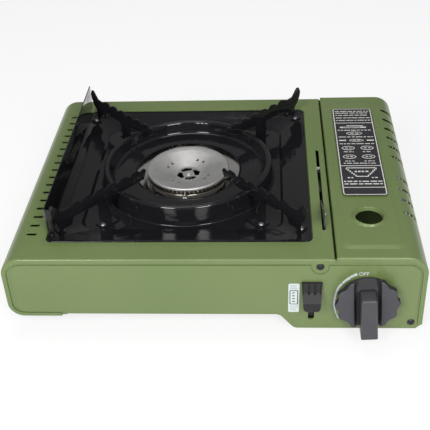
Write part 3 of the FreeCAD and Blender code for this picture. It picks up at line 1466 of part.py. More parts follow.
def make_rubber_feet():
    """Tapered rubber feet: tall ones under the burner, low ones under the bay."""
    feet = []
    for x, top in ((left_x + left_foot_inset, panel_low_left), (right_x - right_foot_inset, foot_height)):
        for distance in (front_foot, rear_foot):
            feet.append(revolve([(0, 0), (foot_sole_radius, 0), (foot_radius, top), (0, top)], [0, 0.8, 0, 0], x,
                                fy(distance)))
    return Part.makeCompound(feet)


def save(shape, name):
    if shape.ShapeType != "Compound" or len(shape.Solids) == 1:
        shape = shape.removeSplitter()
    if not shape.isValid():
        raise ValueError(name + " is not a valid solid")
    shape.exportStep("parts/" + name + ".step")
    print("%-24s solids %d faces %3d volume %.1f" % (name, len(shape.Solids), len(shape.Faces), shape.Volume))


def main():
    os.makedirs("parts", exist_ok=True)
    save(make_body_shell(), "body_shell")
    save(make_front_panel(), "front_panel")
    save(make_rear_panel(), "rear_panel")
    save(make_bottom_plate(), "bottom_plate")
    save(make_bay_partition(), "bay_partition")
    save(make_heat_strip(), "heat_strip")
    save(make_drip_tray(), "drip_tray")
    for index, name in enumerate(arm_names):
        save(make_support(index), "pan_support_" + name)
    save(make_tray_rivets(), "tray_rivets")
    save(make_wind_guard(), "wind_guard")
    save(make_burner_bowl(), "burner_bowl")
    save(make_port_ring(), "port_ring")
    save(make_burner_cap(), "burner_cap")
    save(make_reflector(), "burner_reflector")
    save(make_electrode_insulator(), "electrode_insulator")
    save(make_spark_wire(), "spark_wire")
    save(make_mixing_tube(), "mixing_tube")
    save(make_burner_strap(), "burner_strap")
    save(make_regulator_body(), "regulator_body")
    save(make_regulator_socket(), "regulator_socket")
    save(make_gas_jet(), "gas_jet")
    save(make_regulator_bracket(), "regulator_bracket")
    save(make_cartridge_guide(), "cartridge_guide")
    save(make_piezo_igniter(), "piezo_igniter")
    save(make_igniter_lead(), "igniter_lead")
    save(make_control_knob(), "control_knob")
    save(make_valve_spindle(), "valve_spindle")
    save(make_lock_lever(), "lock_lever")
    save(make_lock_plate(), "lock_plate")
    save(make_lock_guide(), "lock_guide")
    save(make_cartridge_fork(), "cartridge_fork")
    save(make_interlock_blade(), "interlock_blade")
    save(make_blade_pin(), "blade_pivot_pin")
    save(make_cartridge_lid(), "cartridge_lid")
    save(make_lid_hinge_pin(), "lid_hinge_pin")
    save(make_lid_catch(), "lid_catch")
    save(make_panel_screws(), "panel_screws")
    save(make_rubber_feet(), "rubber_feet")


main()
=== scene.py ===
"""Looks of a butane cassette stove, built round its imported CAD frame. Metres, +Z up."""
import json
import math
import random

import bmesh
import bpy
from mathutils import Matrix, Vector


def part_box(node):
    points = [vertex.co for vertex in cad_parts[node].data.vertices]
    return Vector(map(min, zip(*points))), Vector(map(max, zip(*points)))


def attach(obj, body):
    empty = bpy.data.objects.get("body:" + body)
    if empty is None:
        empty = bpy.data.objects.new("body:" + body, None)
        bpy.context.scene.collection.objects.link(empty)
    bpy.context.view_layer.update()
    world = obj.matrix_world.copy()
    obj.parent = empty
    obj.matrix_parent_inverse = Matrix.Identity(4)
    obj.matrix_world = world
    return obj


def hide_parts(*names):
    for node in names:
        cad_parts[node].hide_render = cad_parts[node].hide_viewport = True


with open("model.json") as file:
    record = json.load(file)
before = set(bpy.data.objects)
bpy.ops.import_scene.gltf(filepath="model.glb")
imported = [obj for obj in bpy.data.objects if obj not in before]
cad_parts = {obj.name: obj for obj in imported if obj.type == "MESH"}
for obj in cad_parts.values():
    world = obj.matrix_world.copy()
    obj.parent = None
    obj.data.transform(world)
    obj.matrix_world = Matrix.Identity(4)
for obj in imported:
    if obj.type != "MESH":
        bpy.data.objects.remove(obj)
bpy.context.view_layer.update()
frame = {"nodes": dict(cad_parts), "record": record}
nodes = frame["nodes"]
MM = 0.001
KNOB_FACE_REACH = 10.6 * MM
CAPITAL_SHARE = 0.7

# Photograph: camera place, angles in degrees and focal length in pixels of the 430 pixel frame
CAMERA_PLACE = (0.0462, -0.6411, 0.4867)
CAMERA_PITCH = 35.22
CAMERA_YAW = -4.50
CAMERA_ROLL = -2.82
FOCAL_PIXELS = 848.5
FRAME_PIXELS = 430.0
SENSOR_WIDTH = 36.0

# Places read from the frame
lid_high = Vector(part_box("cartridge_lid")[1])
cap_low, cap_high = (Vector(v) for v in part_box("burner_cap"))
ports_low, ports_high = (Vector(v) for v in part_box("port_ring"))
panel_low = Vector(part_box("front_panel")[0])
burner_axis = Vector(((cap_low.x + cap_high.x) / 2, (cap_low.y + cap_high.y) / 2, 0.0))
field_face = panel_low.y
knob_face = field_face - KNOB_FACE_REACH
pad_top = lid_high.z / MM
bodies = frame["record"]["behaviour"]["bodies"]
body_names = {node: body for body, members in bodies.items() for node in members}


class Value:
    """A node socket that takes part in Python arithmetic by adding Math nodes."""

    def __init__(self, shader, socket):
        self.shader = shader
        self.socket = socket

    def math(self, operation, *others):
        return self.shader.math(operation, self, *others)

    def __add__(self, other):
        return self.math("ADD", other)

    __radd__ = __add__

    def __mul__(self, other):
        return self.math("MULTIPLY", other)

    __rmul__ = __mul__

    def __sub__(self, other):
        return self.math("SUBTRACT", other)

    def __rsub__(self, other):
        return self.shader.math("SUBTRACT", other, self)

    def __truediv__(self, other):
        return self.math("DIVIDE", other)

    def __neg__(self):
        return self * -1.0

    def absolute(self):
        return self.math("ABSOLUTE")

    def above(self, limit):
        return self.math("GREATER_THAN", limit)

    def below(self, limit):
        return self.math("LESS_THAN", limit)

    def sine(self):
        return self.math("SINE")

    def ramp(self, low, high, out_low=0.0, out_high=1.0):
        """Smooth step from low to high."""
        return self.shader.node("ShaderNodeMapRange", {0: self, 1: low, 2: high, 3: out_low, 4: out_high},
                                interpolation_type="SMOOTHSTEP")


class Shader:
    """One material's node tree. Patterns read Object coordinates, in metres."""

    def __init__(self, name):
        self.material = bpy.data.materials.new(name)
        self.material.use_nodes = True
        self.tree = self.material.node_tree
        self.tree.nodes.clear()
        self.place = self.node("ShaderNodeTexCoord", output="Object")

    def node(self, kind, sockets=None, output=0, **settings):
        made = self.tree.nodes.new(kind)
        for setting, value in settings.items():
            if setting == "stops":
                self.set_stops(made.color_ramp, value)
            else:
                setattr(made, setting, value)
        for key, value in (sockets or {}).items():
            if isinstance(value, Value):
                self.tree.links.new(value.socket, made.inputs[key])
            else:
                made.inputs[key].default_value = value
        return Value(self, made.outputs[output]) if len(made.outputs) else None

    def set_stops(self, ramp, stops):
        for element, (position, colour) in zip(ramp.elements, stops[:2]):
            element.position = position
            element.color = (*colour, 1.0)
        for position, colour in stops[2:]:
            ramp.elements.new(position).color = (*colour, 1.0)

    def math(self, operation, *values):
        return self.node("ShaderNodeMath", dict(enumerate(values)), operation=operation)

    def mapped(self, scale):
        return self.node("ShaderNodeMapping", {"Vector": self.place, "Scale": scale})

    def noise(self, scale, detail=2.0, roughness=0.5, vector=None):
        sockets = {"Vector": vector or self.place, "Scale": scale, "Detail": detail}
        sockets["Roughness"] = roughness
        return self.node("ShaderNodeTexNoise", sockets)

    def cells(self, scale, vector=None):
        return self.node("ShaderNodeTexVoronoi", {"Vector": vector or self.place, "Scale": scale})

    def parts(self, vector=None):
        """The X, Y and Z of a vector as three values."""
        split = self.node("ShaderNodeSeparateXYZ", {0: vector or self.place})
        outputs = split.socket.node.outputs
        return [Value(self, outputs[i]) for i in range(3)]

    def joined(self, x, y, z):
        return self.node("ShaderNodeCombineXYZ", {0: x, 1: y, 2: z})

    def tint(self, factor, first, second):
        """Mixes two colours."""
        sockets = {0: factor, 6: self.colour(first), 7: self.colour(second)}
        return self.node("ShaderNodeMix", sockets, output=2, data_type="RGBA")

    def colour(self, value):
        return value if isinstance(value, Value) or len(value) == 4 else (*value, 1.0)

    def bump(self, height, depth):
        return self.node("ShaderNodeBump", {"Height": height, "Distance": depth, "Strength": 1.0})

    def surface(self, base, roughness, metallic=0.0, normal=None, **own):
        sockets = {"Base Color": self.colour(base), "Roughness": roughness, "Metallic": metallic}
        if normal:
            sockets["Normal"] = normal
        for key, value in own.items():
            sockets[key.replace("_", " ").title().replace("Ior", "IOR")] = value
        made = self.node("ShaderNodeBsdfPrincipled", sockets)
        self.node("ShaderNodeOutputMaterial", {"Surface": made})
        return self.material


def rings(shader, axis):
    """Distance from a vertical axis and angle about it, as values."""
    x, y, _ = shader.parts()
    x = x - axis.x
    y = y - axis.y
    return (x * x + y * y).math("SQRT"), y.math("ARCTAN2", x)


def paint_finish():
    """Satin green powder paint: fine orange peel, faint drift of tone."""
    s = Shader("green_satin_paint")
    drift = s.noise(9.0, 2.0)
    peel = s.noise(620.0, 2.0, 0.55)
    dust = s.noise(2600.0, 1.0)
    base = s.tint(drift.ramp(0.3, 0.7), (0.114, 0.163, 0.052), (0.127, 0.175, 0.060))
    rough = 0.30 + 0.06 * drift + 0.05 * dust
    normal = s.bump(peel, 0.00003)
    return s.surface(base, rough, normal=normal, coat_weight=0.15, coat_roughness=0.12)


def enamel_finish():
    """Gloss black enamel: a little wavy, with faint pin marks."""
    s = Shader("gloss_black_enamel")
    wave = s.noise(55.0, 2.0)
    speck = s.noise(1500.0, 1.0)
    smudge = s.noise(22.0, 3.0, 0.6)
    rough = 0.05 + 0.12 * smudge.ramp(0.45, 0.75)
    normal = s.bump(wave + 0.04 * speck, 0.0005)
    return s.surface(s.tint(smudge, (0.006, 0.006, 0.007), (0.010, 0.010, 0.012)), rough, normal=normal,
                     specular_ior_level=0.42)


def spun_steel(name, light, dark, low_rough, high_rough, line=0.00003):
    """Steel turned or brushed in circles round the burner's axis."""
    s = Shader(name)
    radius, angle = rings(s, burner_axis)
    lines = s.noise(1.0, 2.0, 0.6, s.joined(radius * 2600.0, angle * 2.5, 0.0))
    stain = s.noise(70.0, 3.0, 0.6)
    base = s.tint(stain.ramp(0.35, 0.75), light, dark)
    rough = low_rough + (high_rough - low_rough) * lines
    return s.surface(base, rough, 1.0, s.bump(lines, line))


def port_finish():
    """Ring of ports: steel mottled with soot, and painted shade, near black, on the faces of its teeth
    furthest from the axis.
    """
    s = Shader("port_steel_soot_and_shade")
    radius, angle = rings(s, burner_axis)
    soot = s.noise(300.0, 2.0)
    # painted shade: near black on the teeth's far faces, for the shade in and round the ports
    outer_teeth_shade = (radius - (ports_high.x - ports_low.x) / 2).ramp(-0.0012, -0.0004)
    base = s.tint(outer_teeth_shade, s.tint(soot, (0.34, 0.33, 0.30), (0.24, 0.23, 0.20)), (0.030, 0.027, 0.022))
    return s.surface(base, 0.34 + 0.12 * soot, 1.0, s.bump(soot, 0.00002))


def plated_finish():
    """Zinc plated sheet with a soft crystalline mottling."""
    s = Shader("zinc_plated_sheet")
    mottle = s.cells(160.0)
    grain = s.noise(900.0, 2.0)
    base = s.tint(mottle.ramp(0.1, 0.8), (0.52, 0.52, 0.51), (0.62, 0.62, 0.60))
    return s.surface(base, 0.30 + 0.12 * grain, 1.0, s.bump(grain, 0.00002))


def bright_finish():
    """Polished blade and rivet steel with fine lengthwise scratches."""
    s = Shader("bright_steel")
    scratch = s.noise(1.0, 2.0, 0.6, s.mapped((2500.0, 90.0, 2500.0)))
    return s.surface(s.tint(scratch, (0.70, 0.70, 0.69), (0.80, 0.79, 0.77)), 0.18 + 0.14 * scratch, 1.0,
                     s.bump(scratch, 0.00002))


def cast_finish():
    """Die-cast alloy: grainy skin."""
    s = Shader("die_cast_alloy")
    grain = s.noise(1400.0, 3.0, 0.6)
    cloud = s.noise(60.0, 2.0)
    base = s.tint(cloud, (0.46, 0.46, 0.45), (0.56, 0.56, 0.55))
    return s.surface(base, 0.38 + 0.12 * grain, 1.0, s.bump(grain, 0.00006))


def moulded_finish(name, dark, light, rough, grain_depth, grain_scale=1500.0):
    """Moulded plastic with a spark-eroded grain."""
    s = Shader(name)
    grain = s.noise(grain_scale, 2.0, 0.6)
    sheen = s.noise(40.0, 2.0)
    return s.surface(s.tint(sheen, dark, light), rough + 0.10 * grain, normal=s.bump(grain, grain_depth))


def knob_finish():
    """Grey knob plastic, darker with depth back from the front face: a darker skirt, and painted shade in
    the channel and the scallop recesses.
    """
    s = Shader("grey_knob_plastic")
    grain = s.noise(1500.0, 2.0, 0.6)
    sheen = s.noise(40.0, 2.0)
    _, depth, _ = s.parts()
    # painted shade: the colour darkens with depth back from the knob's face, for the shade in the channel
    # and recesses and for the darker skirt
    skirt_and_recess_shade = (depth - knob_face).ramp(0.0002, 0.0011)
    grey = s.tint(sheen, (0.036, 0.035, 0.043), (0.047, 0.046, 0.055))
    base = s.tint(skirt_and_recess_shade, grey, (0.012, 0.012, 0.014))
    rough = 0.36 + 0.10 * grain + 0.28 * skirt_and_recess_shade
    return s.surface(base, rough, normal=s.bump(grain, 0.00005))


def speckled_finish(name, dark, light, rough, scale, metallic=0.0, depth=0.00003):
    """A plain surface with a fine speckle, for small parts."""
    s = Shader(name)
    speckle = s.noise(scale, 3.0, 0.6)
    return s.surface(s.tint(speckle, dark, light), rough + 0.1 * speckle, metallic, s.bump(speckle, depth))


finishes = {
    "casing_paint": paint_finish(),
    "black_enamel": enamel_finish(),
    "burner_steel": spun_steel(
        "brushed_burner_steel", (0.56, 0.555, 0.545), (0.475, 0.47, 0.455), 0.42, 0.60),
    "bright_steel": bright_finish(),
    "cast_aluminium": cast_finish(),
    "plated_steel": plated_finish(),
    "strip_aluminium": speckled_finish(
        "rolled_aluminium", (0.62, 0.62, 0.62), (0.72, 0.72, 0.72), 0.3, 700.0, 1.0),
    "jet_brass": speckled_finish(
        "turned_brass", (0.62, 0.42, 0.14), (0.76, 0.55, 0.22), 0.22, 1200.0, 1.0),
    "knob_plastic": knob_finish(),
    "lever_plastic": moulded_finish(
        "black_lever_plastic", (0.005, 0.005, 0.006), (0.009, 0.009, 0.010), 0.58,
        0.00004),
    "igniter_plastic": moulded_finish(
        "off_white_plastic", (0.62, 0.61, 0.57), (0.70, 0.69, 0.65), 0.4, 0.00004),
    "lead_sleeve": speckled_finish(
        "red_silicone_sleeve", (0.32, 0.03, 0.02), (0.42, 0.05, 0.04), 0.5, 900.0),
    "electrode_ceramic": speckled_finish(
        "white_ceramic", (0.74, 0.72, 0.66), (0.84, 0.83, 0.79), 0.35, 1100.0),
    "black_screws": speckled_finish(
        "blackened_steel", (0.020, 0.021, 0.024), (0.05, 0.052, 0.056), 0.3, 1600.0, 0.6),
    "label_black": speckled_finish(
        "black_label_film", (0.012, 0.011, 0.014), (0.020, 0.019, 0.023), 0.42, 900.0),
    "label_print": speckled_finish(
        "pale_print", (0.46, 0.46, 0.44), (0.62, 0.62, 0.59), 0.5, 1500.0),
    "sticker_white": speckled_finish(
        "white_print", (0.46, 0.52, 0.51), (0.56, 0.61, 0.60), 0.5, 1300.0),
    "sticker_grey": speckled_finish(
        "grey_print", (0.24, 0.31, 0.32), (0.34, 0.40, 0.41), 0.5, 1700.0),
    "sticker_ink": speckled_finish(
        "dark_ink", (0.05, 0.06, 0.06), (0.09, 0.10, 0.10), 0.4, 1500.0),
    "foot_rubber": speckled_finish(
        "black_rubber", (0.018, 0.018, 0.018), (0.030, 0.030, 0.030), 0.7, 1300.0,
        depth=0.00008),
}
node_finishes = {
    "burner_bowl": spun_steel(
        "mirror_burner_steel", (0.26, 0.25, 0.22), (0.18, 0.17, 0.14), 0.10, 0.20, 0.00001),
    "interlock_blade": speckled_finish(
        "grey_blade_steel", (0.22, 0.22, 0.22), (0.32, 0.32, 0.31), 0.36, 900.0, 1.0),
    "tray_rivets": speckled_finish(
        "dull_rivet_steel", (0.20, 0.20, 0.20), (0.32, 0.31, 0.30), 0.42, 1200.0, 1.0),
    "port_ring": port_finish(),
    "lock_guide": speckled_finish(
        "black_guide_steel", (0.012, 0.012, 0.013), (0.022, 0.022, 0.024), 0.5, 1600.0),
    "lock_plate": speckled_finish(
        "black_stem_steel", (0.012, 0.012, 0.013), (0.022, 0.022, 0.024), 0.5, 1500.0),
    "burner_reflector": spun_steel(
        "bright_dish_steel", (0.74, 0.73, 0.70), (0.62, 0.60, 0.56), 0.14, 0.26, 0.00001),
}


def piece_finish(part):
    """The finish of one of the record's pieces: its own, or its material slot's."""
    return node_finishes.get(part["node"], finishes[part["material_slot"]])


def finish_nodes():
    """Gives every carried-over piece its finish."""
    for part in frame["record"]["subparts"]:
        piece = nodes[part["node"]]
        piece.data.materials.clear()
        piece.data.materials.append(piece_finish(part))


def deselect():
    if bpy.context.object and bpy.context.object.mode != "OBJECT":
        bpy.ops.object.mode_set(mode="OBJECT")
    bpy.ops.object.select_all(action="DESELECT")


def settle(piece, name, material, slot, body):
    """Names a finished piece, gives it its finish and makes it ride on its body."""
    deselect()
    piece.select_set(True)
    bpy.context.view_layer.objects.active = piece
    bpy.ops.object.transform_apply(location=True, rotation=True, scale=True)
    piece.name = name
    piece.data.name = name
    piece.data.materials.clear()
    piece.data.materials.append(material)
    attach(piece, body)
    return piece


def joined(pieces):
    """Joins several pieces into the first one."""
    deselect()
    for piece in pieces:
        piece.select_set(True)
    bpy.context.view_layer.objects.active = pieces[0]
    if len(pieces) > 1:
        bpy.ops.object.join()
    return bpy.context.object


def slab(centre, size, corner=0.0, segments=4, turn=(0.0, 0.0, 0.0)):
    """A thin plate with the four corners of its outline rounded, placed in millimetres."""
    deselect()
    bpy.ops.mesh.primitive_cube_add(size=1.0, location=[v * MM for v in centre], rotation=turn)
    piece = bpy.context.object
    piece.scale = [v * MM for v in size]
    bpy.ops.object.transform_apply(location=False, rotation=False, scale=True)
    if corner:
        thin = min(range(3), key=lambda i: size[i])
        bpy.ops.object.mode_set(mode="EDIT")
        bpy.ops.mesh.select_mode(type="EDGE")
        bpy.ops.mesh.select_all(action="DESELECT")
        mesh = bmesh.from_edit_mesh(piece.data)
        for edge in mesh.edges:
            a, b = (v.co for v in edge.verts)
            edge.select_set(abs((a - b)[thin]) > size[thin] * MM * 0.5)
        bmesh.update_edit_mesh(piece.data)
        bpy.ops.mesh.bevel(offset=corner * MM, segments=segments)
        bpy.ops.object.mode_set(mode="OBJECT")
    return piece


def disc(centre, size):
    """A flat oval lying in the label's plane, placed in millimetres."""
    deselect()
    place = [v * MM for v in centre]
    bpy.ops.mesh.primitive_cylinder_add(vertices=28, radius=0.5, depth=1.0, location=place)
    piece = bpy.context.object
    piece.scale = [v * MM for v in size]
    return piece


def print_text(words, height, place, depth):
    """Raised lettering that stands on the front panel, facing forwards."""
    deselect()
    bpy.ops.object.text_add()
    piece = bpy.context.object
    piece.data.body = words
    piece.data.size = height * MM / CAPITAL_SHARE
    piece.data.extrude = depth * MM
    piece.data.align_x = "CENTER"
    bpy.ops.object.convert(target="MESH")
    piece = bpy.context.object
    piece.rotation_euler = (math.radians(90.0), 0.0, 0.0)
    piece.location = [v * MM for v in place]
    return piece


# Label on the lid: places in millimetres, rows counted along Y
LABEL_X = (108.6, 146.7)
LABEL_Y = (-38.6, 115.2)
LABEL_THICK = 0.2
PRINT_STEP = 0.04
LABEL_FRAME_INSET = 0.5
LABEL_FRAME_WIDTH = 0.9
LABEL_CORNER = 3.0
LABEL_DIVIDERS = (86.2, 8.3, -26.8)
TOP_ROWS = (109.6, 106.1, 101.6, 96.4, 91.4)
FOOT_ROWS = (-17.4, -21.4)
DRAWING_ROWS = ((39.0, 32.4), (23.7, 16.2))
DRAWING_SIDE = 8.6
BOWL_STEPS = 6
BOWL_TOP = 3.4
BOWL_STEP = 2.3
BOWL_HALF = 13.0
BOWL_TAPER = 1.5


def label_bar(x0, x1, y, width, level=3):
    """One printed bar across the label, on the given layer."""
    top = pad_top + LABEL_THICK + PRINT_STEP * level
    low = pad_top + LABEL_THICK / 2
    return slab(((x0 + x1) / 2, y, (top + low) / 2), (x1 - x0, width, top - low))


def label_oval(x, y, length, width, level=3):
    """One printed oval on the given layer."""
    top = pad_top + LABEL_THICK + PRINT_STEP * level
    low = pad_top + LABEL_THICK / 2
    return disc((x, y, (top + low) / 2), (length, width, top - low))


def line_of_words(draw, x0, x1, y, width, longest=7.0):
    """A line of fine print shown as a row of short bars."""
    bars = []
    x = x0
    while x < x1 - 1.0:
        length = min(draw.uniform(1.6, longest), x1 - x)
        bars.append(label_bar(x, x + length, y, width))
        x += length + draw.uniform(0.7, 1.3)
    return bars


def label_drawings(light, dark, x, y, length, width):
    """An outlined oval dish with two bars in it."""
    light.append(label_oval(x, y, length, width))
    dark.append(label_oval(x, y, length - 1.6, width - 1.8, 4))
    light.append(label_bar(x - length * 0.24, x - length * 0.04, y, width * 0.16, 5))
    light.append(label_bar(x + length * 0.06, x + length * 0.26, y, width * 0.16, 5))


def build_label():
    """Black label with a pale frame, divided into panels of bars and simple drawings."""
    draw = random.Random(11)
    x0, x1 = LABEL_X
    y0, y1 = LABEL_Y
    middle = ((x0 + x1) / 2, (y0 + y1) / 2)
    size = (x1 - x0, y1 - y0)
    plate = slab((*middle, pad_top + LABEL_THICK / 2), (*size, LABEL_THICK), LABEL_CORNER)
    frame_size = [v - 2 * LABEL_FRAME_INSET for v in size]
    inner_size = [v - 2 * LABEL_FRAME_WIDTH for v in frame_size]
    low = pad_top + LABEL_THICK / 2
    high = pad_top + LABEL_THICK
    centre_z = (low + high) / 2
    frame_corner = LABEL_CORNER - LABEL_FRAME_INSET
    frame_plate = slab((*middle, centre_z + PRINT_STEP / 2), (*frame_size, high - low + PRINT_STEP),
                       frame_corner)
    inner_plate = slab((*middle, centre_z + PRINT_STEP), (*inner_size, high - low + 2 * PRINT_STEP),
                       frame_corner - LABEL_FRAME_WIDTH)
    light = [frame_plate]
    dark = [plate, inner_plate]
    left = x0 + LABEL_FRAME_INSET + LABEL_FRAME_WIDTH
    right = x1 - LABEL_FRAME_INSET - LABEL_FRAME_WIDTH
    for y in LABEL_DIVIDERS:
        light.append(label_bar(left - 0.2, right + 0.2, y, 0.9))
    for y in TOP_ROWS:
        light += line_of_words(draw, left + 1.2, right - 1.2, y, 1.3)
    centre = middle[0]
    light.append(label_bar(left + 4.0, right - 6.5, 77.6, 2.4))
    dark.append(label_bar(left + 7.0, right - 12.0, 77.6, 0.9, 4))
    light.append(label_bar(left + 10.5, right - 9.0, 80.6, 1.2))
    light += line_of_words(draw, left + 1.5, right - 1.5, 72.0, 1.2)
    label_drawings(light, dark, centre - 1.0, 66.0, 15.0, 6.0)
    light += line_of_words(draw, left + 1.5, right - 1.5, 59.4, 1.2)
    light.append(label_bar(left + 1.5, left + 8.0, 53.0, 2.0))
    label_drawings(light, dark, centre, 53.0, 13.5, 4.4)
    light.append(label_bar(right - 8.0, right - 1.5, 53.0, 2.0))
    light += line_of_words(draw, left + 1.5, right - 1.5, 46.8, 1.2)
    for y, caption in DRAWING_ROWS:
        for x in (centre - DRAWING_SIDE, centre + DRAWING_SIDE):
            label_drawings(light, dark, x, y, 12.0, 7.0)
            light += line_of_words(draw, x - 4.5, x + 4.5, caption, 1.1, 4.0)
    light += line_of_words(draw, left + 3.0, right - 3.0, 12.4, 1.1)
    for step in range(BOWL_STEPS):
        half = BOWL_HALF - BOWL_TAPER * step
        y = BOWL_TOP - BOWL_STEP * step
        light.append(label_bar(centre - half - 0.6, centre - half + 0.6, y, 2.5))
        light.append(label_bar(centre + half - 0.6, centre + half + 0.6, y, 2.5))
    light.append(label_bar(centre - 13.6, centre + 13.6, 4.6, 1.2))
    light.append(label_bar(centre - 5.5, centre + 5.5, -9.4, 1.2))
    light += line_of_words(draw, centre - 6.0, centre + 6.0, -1.4, 2.2, 3.0)
    light += line_of_words(draw, centre - 13.0, centre - 7.5, -11.4, 1.6, 2.4)
    light += line_of_words(draw, centre + 8.0, centre + 13.0, -11.4, 1.6, 2.4)
    for y in FOOT_ROWS:
        light += line_of_words(draw, left + 1.2, right - 1.2, y, 1.6)
    settle(joined(dark), "label_plate", finishes["label_black"], "black_enamel", "lid")
    settle(joined(light), "label_print", finishes["label_print"], "igniter_plastic", "lid")


# Sticker and printed scale on the front panel: X and Z in millimetres
STICKER_X = (61.0, 69.8)
STICKER_Z = (22.2, 52.0)
STICKER_FRAME_Z = (30.4, 45.4)
SCALE_POINTS = (
    (114.2, 61.6), (111.9, 60.3), (109.4, 58.5), (106.1, 55.3), (103.6, 52.6), (101.6, 49.8),
    (100.4, 47.4), (99.5, 44.7), (98.8, 42.0), (98.3, 39.3), (97.9, 35.3), (97.6, 30.6),
    (98.0, 27.6), (98.6, 24.9), (99.8, 20.3), (101.7, 15.6))
SCALE_BREAK = 4
SCALE_WIDTHS = (2.5, 0.8)
OFF_PLACE = (119.9, 60.3)
OFF_HEIGHT = 3.3


def on_panel(x0, x1, z0, z1, level, corner=0.0):
    """A printed patch on the front panel; each level stands a little further out."""
    thick = PRINT_STEP * (level + 1)
    centre = ((x0 + x1) / 2, field_face / MM - thick / 2, (z0 + z1) / 2)
    return slab(centre, (x1 - x0, thick, z1 - z0), corner, 3)


def build_sticker():
    """White sticker beside the lever: a dark frame round a light field with upright bars."""
    draw = random.Random(5)
    x0, x1 = STICKER_X
    z0, z1 = STICKER_Z
    f0, f1 = STICKER_FRAME_Z
    light = [on_panel(x0, x1, z0, z1, 1, 1.2), on_panel(x0 + 1.7, x1 - 1.7, f0 + 0.8, f1 - 0.8, 3, 0.8)]
    dark = [on_panel(x0 + 0.9, x1 - 0.9, f0, f1, 2, 1.2)]
    for i in range(4):
        z = f0 + 2.6 + i * 3.0
        dark.append(on_panel(x0 + 3.0, x1 - 3.0 - draw.uniform(0.0, 0.8), z, z + 1.1, 4))
    grey = []
    for low, high in ((z0 + 1.2, f0 - 1.0), (f1 + 1.0, z1 - 1.2)):
        rows = 3
        for i in range(rows):
            z = low + (i + 0.5) * (high - low) / rows
            grey.append(on_panel(x0 + 1.2, x1 - 1.2 - draw.uniform(0.0, 1.6), z - 0.35, z + 0.35, 2))
    settle(joined(light), "sticker", finishes["sticker_white"], "igniter_plastic", "casing")
    settle(joined(dark), "sticker_frame", finishes["sticker_ink"], "black_enamel", "casing")
    settle(joined(grey), "sticker_lines", finishes["sticker_grey"], "igniter_plastic", "casing")


def build_scale():
    """The printed scale round the knob: a tapering arc with one break, and its OFF mark."""
    thick = 2 * PRINT_STEP
    y = field_face / MM - thick / 2
    count = len(SCALE_POINTS) - 1
    bars = []
    for i, (start, end) in enumerate(zip(SCALE_POINTS, SCALE_POINTS[1:])):
        if i == SCALE_BREAK:
            start = (start[0] * 0.75 + end[0] * 0.25, start[1] * 0.75 + end[1] * 0.25)
        dx = end[0] - start[0]
        dz = end[1] - start[1]
        width = SCALE_WIDTHS[0] + (SCALE_WIDTHS[1] - SCALE_WIDTHS[0]) * (i + 0.5) / count
        overlap = 0.0 if i + 1 == SCALE_BREAK else 0.35
        turn = (0.0, -math.atan2(dz, dx), 0.0)
        bars.append(slab(((start[0] + end[0]) / 2, y, (start[1] + end[1]) / 2),
                         (math.hypot(dx, dz) + overlap, thick, width), turn=turn))
    off = print_text("OFF", OFF_HEIGHT, (OFF_PLACE[0], field_face / MM, OFF_PLACE[1]), PRINT_STEP)
    settle(joined(bars + [off]), "knob_scale", finishes["sticker_white"], "igniter_plastic", "casing")


# Edges that the bending and stamping leave slightly round, in millimetres
SOFT_EDGES = {
    "pan_support_front_left": 0.28,
    "pan_support_front_right": 0.28,
    "pan_support_rear_left": 0.28,
    "pan_support_rear_right": 0.28,
    "wind_guard": 0.22,
}


def soften(name, radius):
    """A copy of a sheet piece with its sharp edges rounded, which stands for that piece."""
    deselect()
    piece = nodes[name].copy()
    piece.data = nodes[name].data.copy()
    bpy.context.scene.collection.objects.link(piece)
    deselect()
    piece.select_set(True)
    bpy.context.view_layer.objects.active = piece
    bpy.ops.object.mode_set(mode="EDIT")
    bpy.ops.mesh.select_all(action="SELECT")
    bpy.ops.mesh.remove_doubles(threshold=0.000002)
    bpy.ops.mesh.dissolve_limited(angle_limit=math.radians(1.5))
    bpy.ops.object.mode_set(mode="OBJECT")
    bevel = piece.modifiers.new("soft_edges", "BEVEL")
    bevel.width = radius * MM
    bevel.segments = 2
    bevel.limit_method = "ANGLE"
    bevel.angle_limit = math.radians(50.0)
    bevel.harden_normals = False
    bpy.ops.object.modifier_apply(modifier=bevel.name)
    bpy.ops.object.shade_smooth_by_angle(angle=math.radians(35.0))
    part = next(p for p in frame["record"]["subparts"] if p["node"] == name)
    settle(piece, name + "_soft", piece_finish(part), part["material_slot"], body_names[name])
    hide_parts(name)


finish_nodes()
for soft_name, soft_radius in SOFT_EDGES.items():
    soften(soft_name, soft_radius)
build_label()
build_sticker()
build_scale()


# Studio: metres and watts
FLOOR_SPAN = 12.0
WORLD_STRENGTH = 0.25
LIGHT_TARGET = (0.0, 0.0, 0.05)
SOFT_LIGHTS = (
    ("left_softbox", (-0.62, -1.30, 1.05), (0.45, 0.8), 19.0),
    ("right_softbox", (0.55, -1.30, 1.05), (0.45, 0.8), 19.0),
    ("overhead_softbox", (-0.1, 0.22, 1.6), (0.8, 0.5), 6.0),
)


def paper_finish(name, colour, glow):
    """Matt studio paper that also shows its colour to the camera and in reflections."""
    s = Shader(name)
    path = s.node("ShaderNodeLightPath", output="Is Camera Ray")
    outputs = path.socket.node.outputs
    seen = path + Value(s, outputs["Is Glossy Ray"]) + Value(s, outputs["Is Transmission Ray"])
    matt = s.node("ShaderNodeBsdfDiffuse", {"Color": (*colour, 1.0)})
    light = s.node("ShaderNodeEmission", {"Color": (1.0, 1.0, 1.0, 1.0), "Strength": 1.0})
    mixed = s.node("ShaderNodeMixShader", {0: seen.math("MINIMUM", 1.0) * glow, 1: matt, 2: light})
    s.node("ShaderNodeOutputMaterial", {"Surface": mixed})
    return s.material


def build_stage():
    deselect()
    bpy.ops.mesh.primitive_plane_add(size=1.0, location=(0.0, 0.0, 0.0))
    floor = bpy.context.object
    floor.scale = (FLOOR_SPAN, FLOOR_SPAN, 1.0)
    floor.name = "studio_floor"
    floor.data.materials.append(paper_finish("white_paper", (0.86, 0.86, 0.86), 0.75))


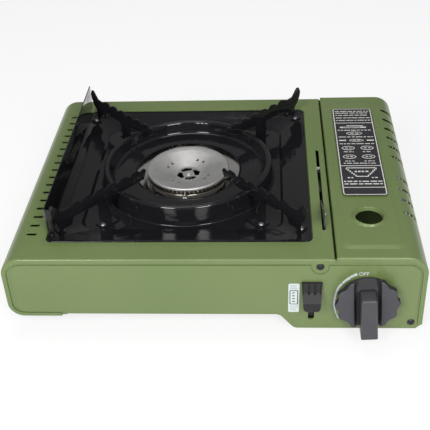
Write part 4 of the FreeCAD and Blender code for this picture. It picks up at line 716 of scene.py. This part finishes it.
def build_world():
    world = bpy.data.worlds.new("studio")
    bpy.context.scene.world = world
    world.use_nodes = True
    tree = world.node_tree
    tree.nodes.clear()
    path = tree.nodes.new("ShaderNodeLightPath")
    seen = tree.nodes.new("ShaderNodeMath")
    seen.operation = "MAXIMUM"
    tree.links.new(path.outputs["Is Camera Ray"], seen.inputs[0])
    tree.links.new(path.outputs["Is Transmission Ray"], seen.inputs[1])
    lit = tree.nodes.new("ShaderNodeBackground")
    lit.inputs["Color"].default_value = (1.0, 1.0, 1.0, 1.0)
    lit.inputs["Strength"].default_value = WORLD_STRENGTH
    shown = tree.nodes.new("ShaderNodeBackground")
    shown.inputs["Color"].default_value = (1.0, 1.0, 1.0, 1.0)
    shown.inputs["Strength"].default_value = 1.0
    mix = tree.nodes.new("ShaderNodeMixShader")
    tree.links.new(seen.outputs[0], mix.inputs[0])
    tree.links.new(lit.outputs[0], mix.inputs[1])
    tree.links.new(shown.outputs[0], mix.inputs[2])
    out = tree.nodes.new("ShaderNodeOutputWorld")
    tree.links.new(mix.outputs[0], out.inputs["Surface"])


def soft_light(name, place, size, power):
    data = bpy.data.lights.new(name, "AREA")
    data.shape = "RECTANGLE"
    data.size, data.size_y = size
    data.energy = power
    lamp = bpy.data.objects.new(name, data)
    bpy.context.scene.collection.objects.link(lamp)
    lamp.location = place
    lamp.rotation_euler = (Vector(LIGHT_TARGET) - Vector(place)).to_track_quat("-Z", "Y").to_euler()


def build_camera():
    data = bpy.data.cameras.new("camera")
    data.sensor_width = SENSOR_WIDTH
    data.lens = SENSOR_WIDTH * FOCAL_PIXELS / FRAME_PIXELS
    data.clip_start = 0.01
    camera = bpy.data.objects.new("camera", data)
    bpy.context.scene.collection.objects.link(camera)
    turn = (Matrix.Rotation(math.radians(-CAMERA_YAW), 4, "Z")
            @ Matrix.Rotation(math.radians(90.0 - CAMERA_PITCH), 4, "X")
            @ Matrix.Rotation(math.radians(CAMERA_ROLL), 4, "Z"))
    camera.matrix_world = Matrix.Translation(CAMERA_PLACE) @ turn
    bpy.context.scene.camera = camera


build_stage()
build_world()
for light_row in SOFT_LIGHTS:
    soft_light(*light_row)
build_camera()
bpy.context.scene.view_settings.view_transform = "Standard"
